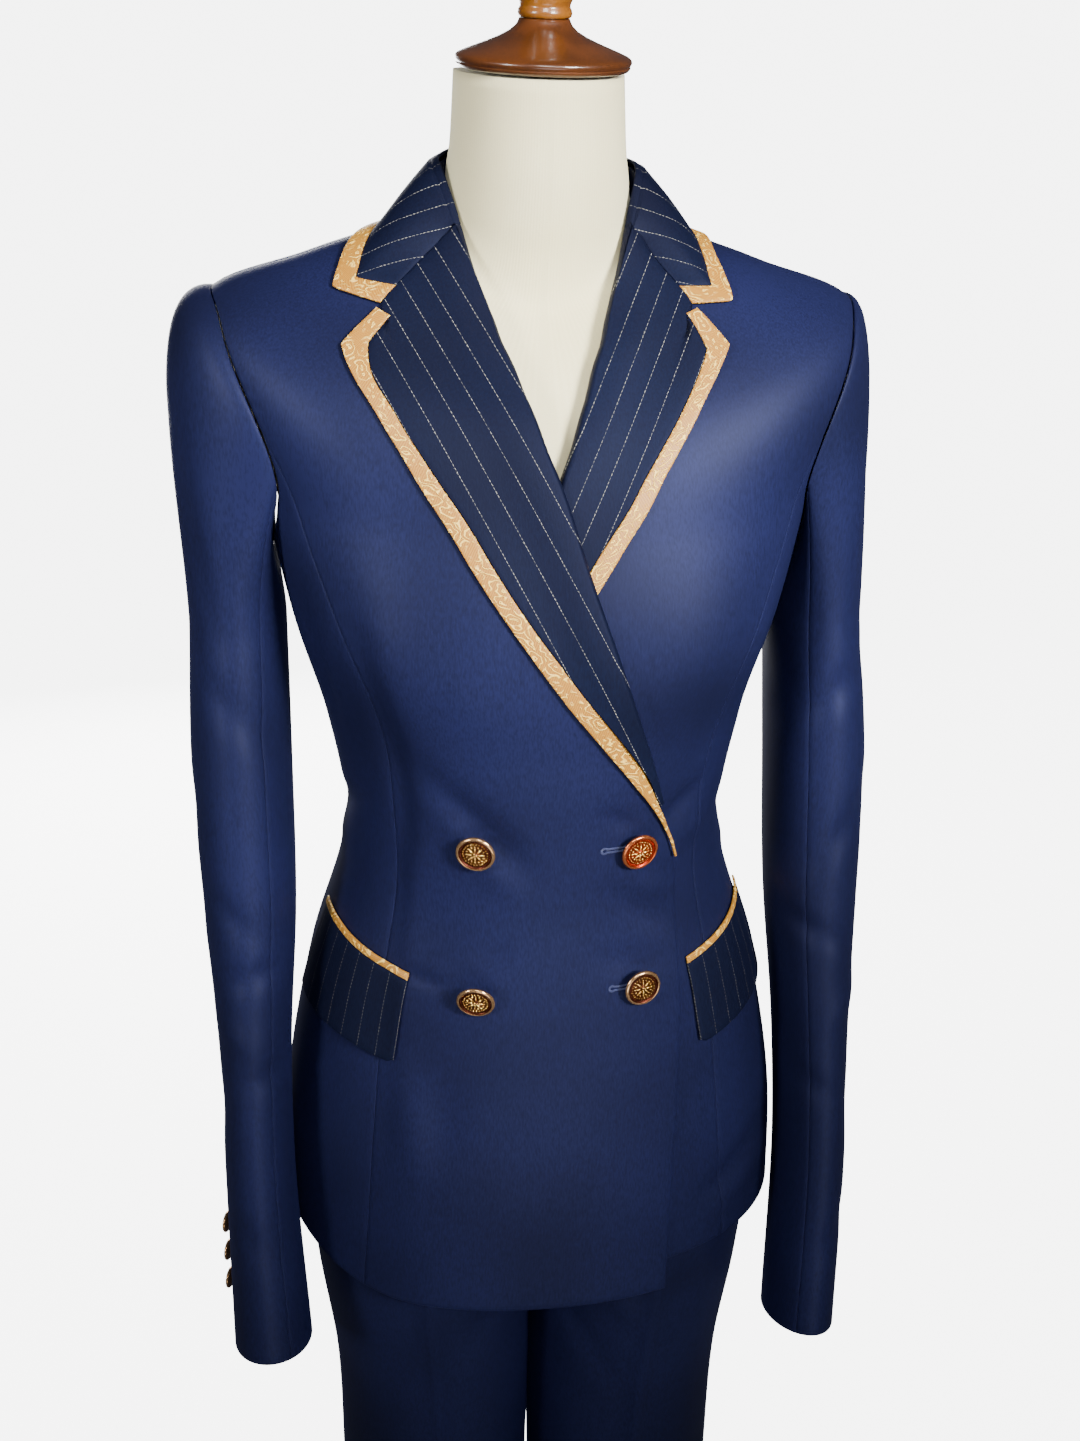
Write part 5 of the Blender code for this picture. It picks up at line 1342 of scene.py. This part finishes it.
def form_body():
    turn = np.linspace(0, 360, FORM_AROUND, endpoint=False)
    bottom = torso(turn, FORM_HEIGHTS[0], FORM_LIFT - FORM_ROUNDING)
    bottom[:, 2] = FORM_BOTTOM
    rings = [bottom]
    for height in FORM_HEIGHTS:
        under_trousers = ease((HIP_TOP - height) / HIP_FADE)
        rings.append(torso(turn, height, FORM_LIFT - FORM_HIP_GAP * under_trousers))
    t = np.radians(turn)
    front = np.cos(t) > 0
    for middle, fall, before, behind, width in NECK:
        x, y = width * np.sin(t), -np.where(front, before, behind) * np.cos(t)
        z = middle - fall * np.cos(t) * np.where(front, 1.0, NECK_BACK_RISE) - TILT * x
        rings.append(np.stack([x, y, z], -1))
    table = np.column_stack([np.arange(len(rings)), np.array(rings).reshape(len(rings), -1)])
    fine = smooth(table, np.linspace(0, len(rings) - 1, (len(rings) - 1) * FORM_BETWEEN + 1))
    fine = fine.reshape(len(fine), -1, 3)
    ends = fine[[0, -1]]
    centres = ends.mean(axis=1)
    caps = centres[:, None] + (ends - centres[:, None]) * FORM_CAP
    fine = np.concatenate([caps[:1], fine, caps[1:]])
    index = np.arange(fine[..., 0].size).reshape(-1, FORM_AROUND)
    around = np.roll(index, -1, axis=1)
    faces = np.stack([index[:-1], around[:-1], around[1:], index[1:]], -1).reshape(-1, 4).tolist()
    low, high = np.full(FORM_AROUND, index.size), np.full(FORM_AROUND, index.size + 1)
    faces += np.column_stack([around[0], index[0], low]).tolist()
    faces += np.column_stack([index[-1], around[-1], high]).tolist()
    centres = caps.mean(axis=1)
    points = np.concatenate([fine.reshape(-1, 3), centres])
    across = np.append(np.broadcast_to(t, fine.shape[:2]).ravel() * FORM_RADIUS, [0, 0])
    made = woven("form_body_cover", points, faces, np.column_stack([across, points[:, 2]]), LINEN)
    settle(made, "form_body")


def stand_pieces():
    lean = Matrix.Rotation(math.radians(NECK_LEAN), 4, "X") @ Matrix.Rotation(TILT, 4, "Y")
    neck = Matrix.Translation(Vector(NECK_TOP)) @ lean
    turned("neck_cap", NECK_CAP, DARK_WOOD, 96, neck)
    turned("finial", FINIAL, HONEY_WOOD, 80, neck)
    r, top, foot = POLE_RADIUS, FORM_BOTTOM - POLE_CLEAR, BASE_THICKNESS + BASE_HUB + POLE_CLEAR
    profile = ((0, foot), (r, foot), (r, foot + FOOT_RING), (r, top), (0, top))
    turned("pole", profile, POWDER, 48, Matrix.Translation((POLE_X, 0, 0)))
    r, t = BASE_RADIUS, BASE_THICKNESS
    profile = (
        (0, 0), (r - 0.0030, 0), (r - 0.0012, 0.0004), (r - 0.0003, 0.0012), (r, 0.0026),
        (r, t - 0.0046), (r - 0.0004, t - 0.0028), (r - 0.0016, t - 0.0012),
        (r - 0.0040, t), (r * 0.5, t + 0.0030), (0.03, t + 0.0058), (0, t + BASE_HUB),
    )
    turned("base", profile, POWDER, 160, Matrix.Identity(4))


# Floor, light and camera ------------------------------------------------------------------

FLOOR_GLOW, SKY_GLOW = 6.0, 0.08
FLOOR_REACH, DOME_SHARE = 80.0, 0.98
# Each soft box: place, target, width and height, watts and degrees of its beam
SOFT_BOXES = {
    "key_window": ((1.15, -1.9, 2.15), (0.07, -0.1, 1.34), (0.6, 0.6), 6.8, 30),
    "left_window": ((-1.6, -1.3, 1.8), (-0.16, 0, 1.27), (0.4, 0.8), 2.5, 36),
    "front": ((-0.05, -1.7, 2.5), (0, 0, 1.26), (0.6, 0.5), 1.2, 34),
    "low_card": ((0.1, -1.45, 0.45), (0, -0.1, 1.05), (1.1, 0.45), 2.5, 100),
    "behind": ((-0.5, 3.0, 1.3), (0, 0, 1.0), (1.4, 1.6), 100, 180),
}
LENS, SENSOR_HEIGHT = 40, 36
CAMERA_PLACE = (-0.127, -1.006, 1.529)
CAMERA_YAW, CAMERA_PITCH, CAMERA_ROLL = (math.radians(a) for a in (7.5, 22.14, 0.65))


def soft_box(name, place, target, size, watts, beam):
    lamp = bpy.data.lights.new(name, "AREA")
    lamp.shape = "RECTANGLE"
    lamp.size, lamp.size_y = size
    lamp.energy = watts
    lamp.spread = math.radians(beam)
    made = placed(name, lamp)
    made.location = place
    made.rotation_euler = (Vector(target) - Vector(place)).to_track_quat("-Z", "Y").to_euler()
    made.visible_camera = False


def studio():
    """A pale floor and backdrop, soft boxes from the front, the sides and behind, and the camera."""
    made, tree, shader = new_finish(
        "pale_studio_floor", Roughness=0.7, Emission_Strength=FLOOR_GLOW, Emission_Color="#FFFFFF"
    )
    paper = add(tree, "TexNoise", Vector=place_of(tree), Scale=3.0)
    coloured(tree, shader, paper, "#EDEDEC", "#F3F3F2")
    floor, dome = (bpy.data.meshes.new(name) for name in ("studio_floor", "studio_backdrop"))
    far = FLOOR_REACH
    floor.from_pydata([(-far, -far, 0), (far, -far, 0), (far, far, 0), (-far, far, 0)], [], [(0, 1, 2, 3)])
    work = bmesh.new()
    bmesh.ops.create_uvsphere(work, u_segments=48, v_segments=24, radius=far * DOME_SHARE)
    bmesh.ops.reverse_faces(work, faces=work.faces)
    work.to_mesh(dome)
    work.free()
    for mesh in (floor, dome):
        mesh.materials.append(made)
        piece = placed(mesh.name, mesh)
        # Floor and backdrop are pale to look at, and throw no light back at the suit
        piece.visible_diffuse = piece.visible_glossy = piece.visible_shadow = False
    world = bpy.data.worlds.new("studio_world")
    world.use_nodes = True
    sky = world.node_tree.nodes["Background"].inputs
    sky["Color"].default_value = linear("#F4F6FF")
    sky["Strength"].default_value = SKY_GLOW
    bpy.context.scene.world = world
    for name, values in SOFT_BOXES.items():
        soft_box(name, *values)
    sin, cos = math.sin, math.cos
    flat = cos(CAMERA_PITCH)
    forward = Vector((sin(CAMERA_YAW) * flat, cos(CAMERA_YAW) * flat, -sin(CAMERA_PITCH)))
    level = Vector((cos(CAMERA_YAW), -sin(CAMERA_YAW), 0))
    upright = level.cross(forward)
    right = level * cos(CAMERA_ROLL) + upright * sin(CAMERA_ROLL)
    up = upright * cos(CAMERA_ROLL) - level * sin(CAMERA_ROLL)
    lens = bpy.data.cameras.new("camera")
    lens.sensor_fit = "VERTICAL"
    lens.sensor_height = SENSOR_HEIGHT
    lens.lens = LENS
    camera = placed("camera", lens)
    turn = Matrix((right, up, -forward)).transposed().to_4x4()
    camera.matrix_world = Matrix.Translation(Vector(CAMERA_PLACE)) @ turn
    bpy.context.scene.camera = camera


for side in SIDES:
    jacket_front(side)
    jacket_side(side)
    jacket_back(side)
    sleeve_half(side, "upper")
    sleeve_half(side, "under")
    lapel(side)
    lapel_trim(side)
    pocket(side)
    trouser_panel(side, "front")
    trouser_panel(side, "back")
collar_pieces()
front_buttons()
cuff_buttons()
for number, place in enumerate(BUTTONHOLES, 1):
    buttonhole(number, *place)
waistband()
form_body()
stand_pieces()
studio()
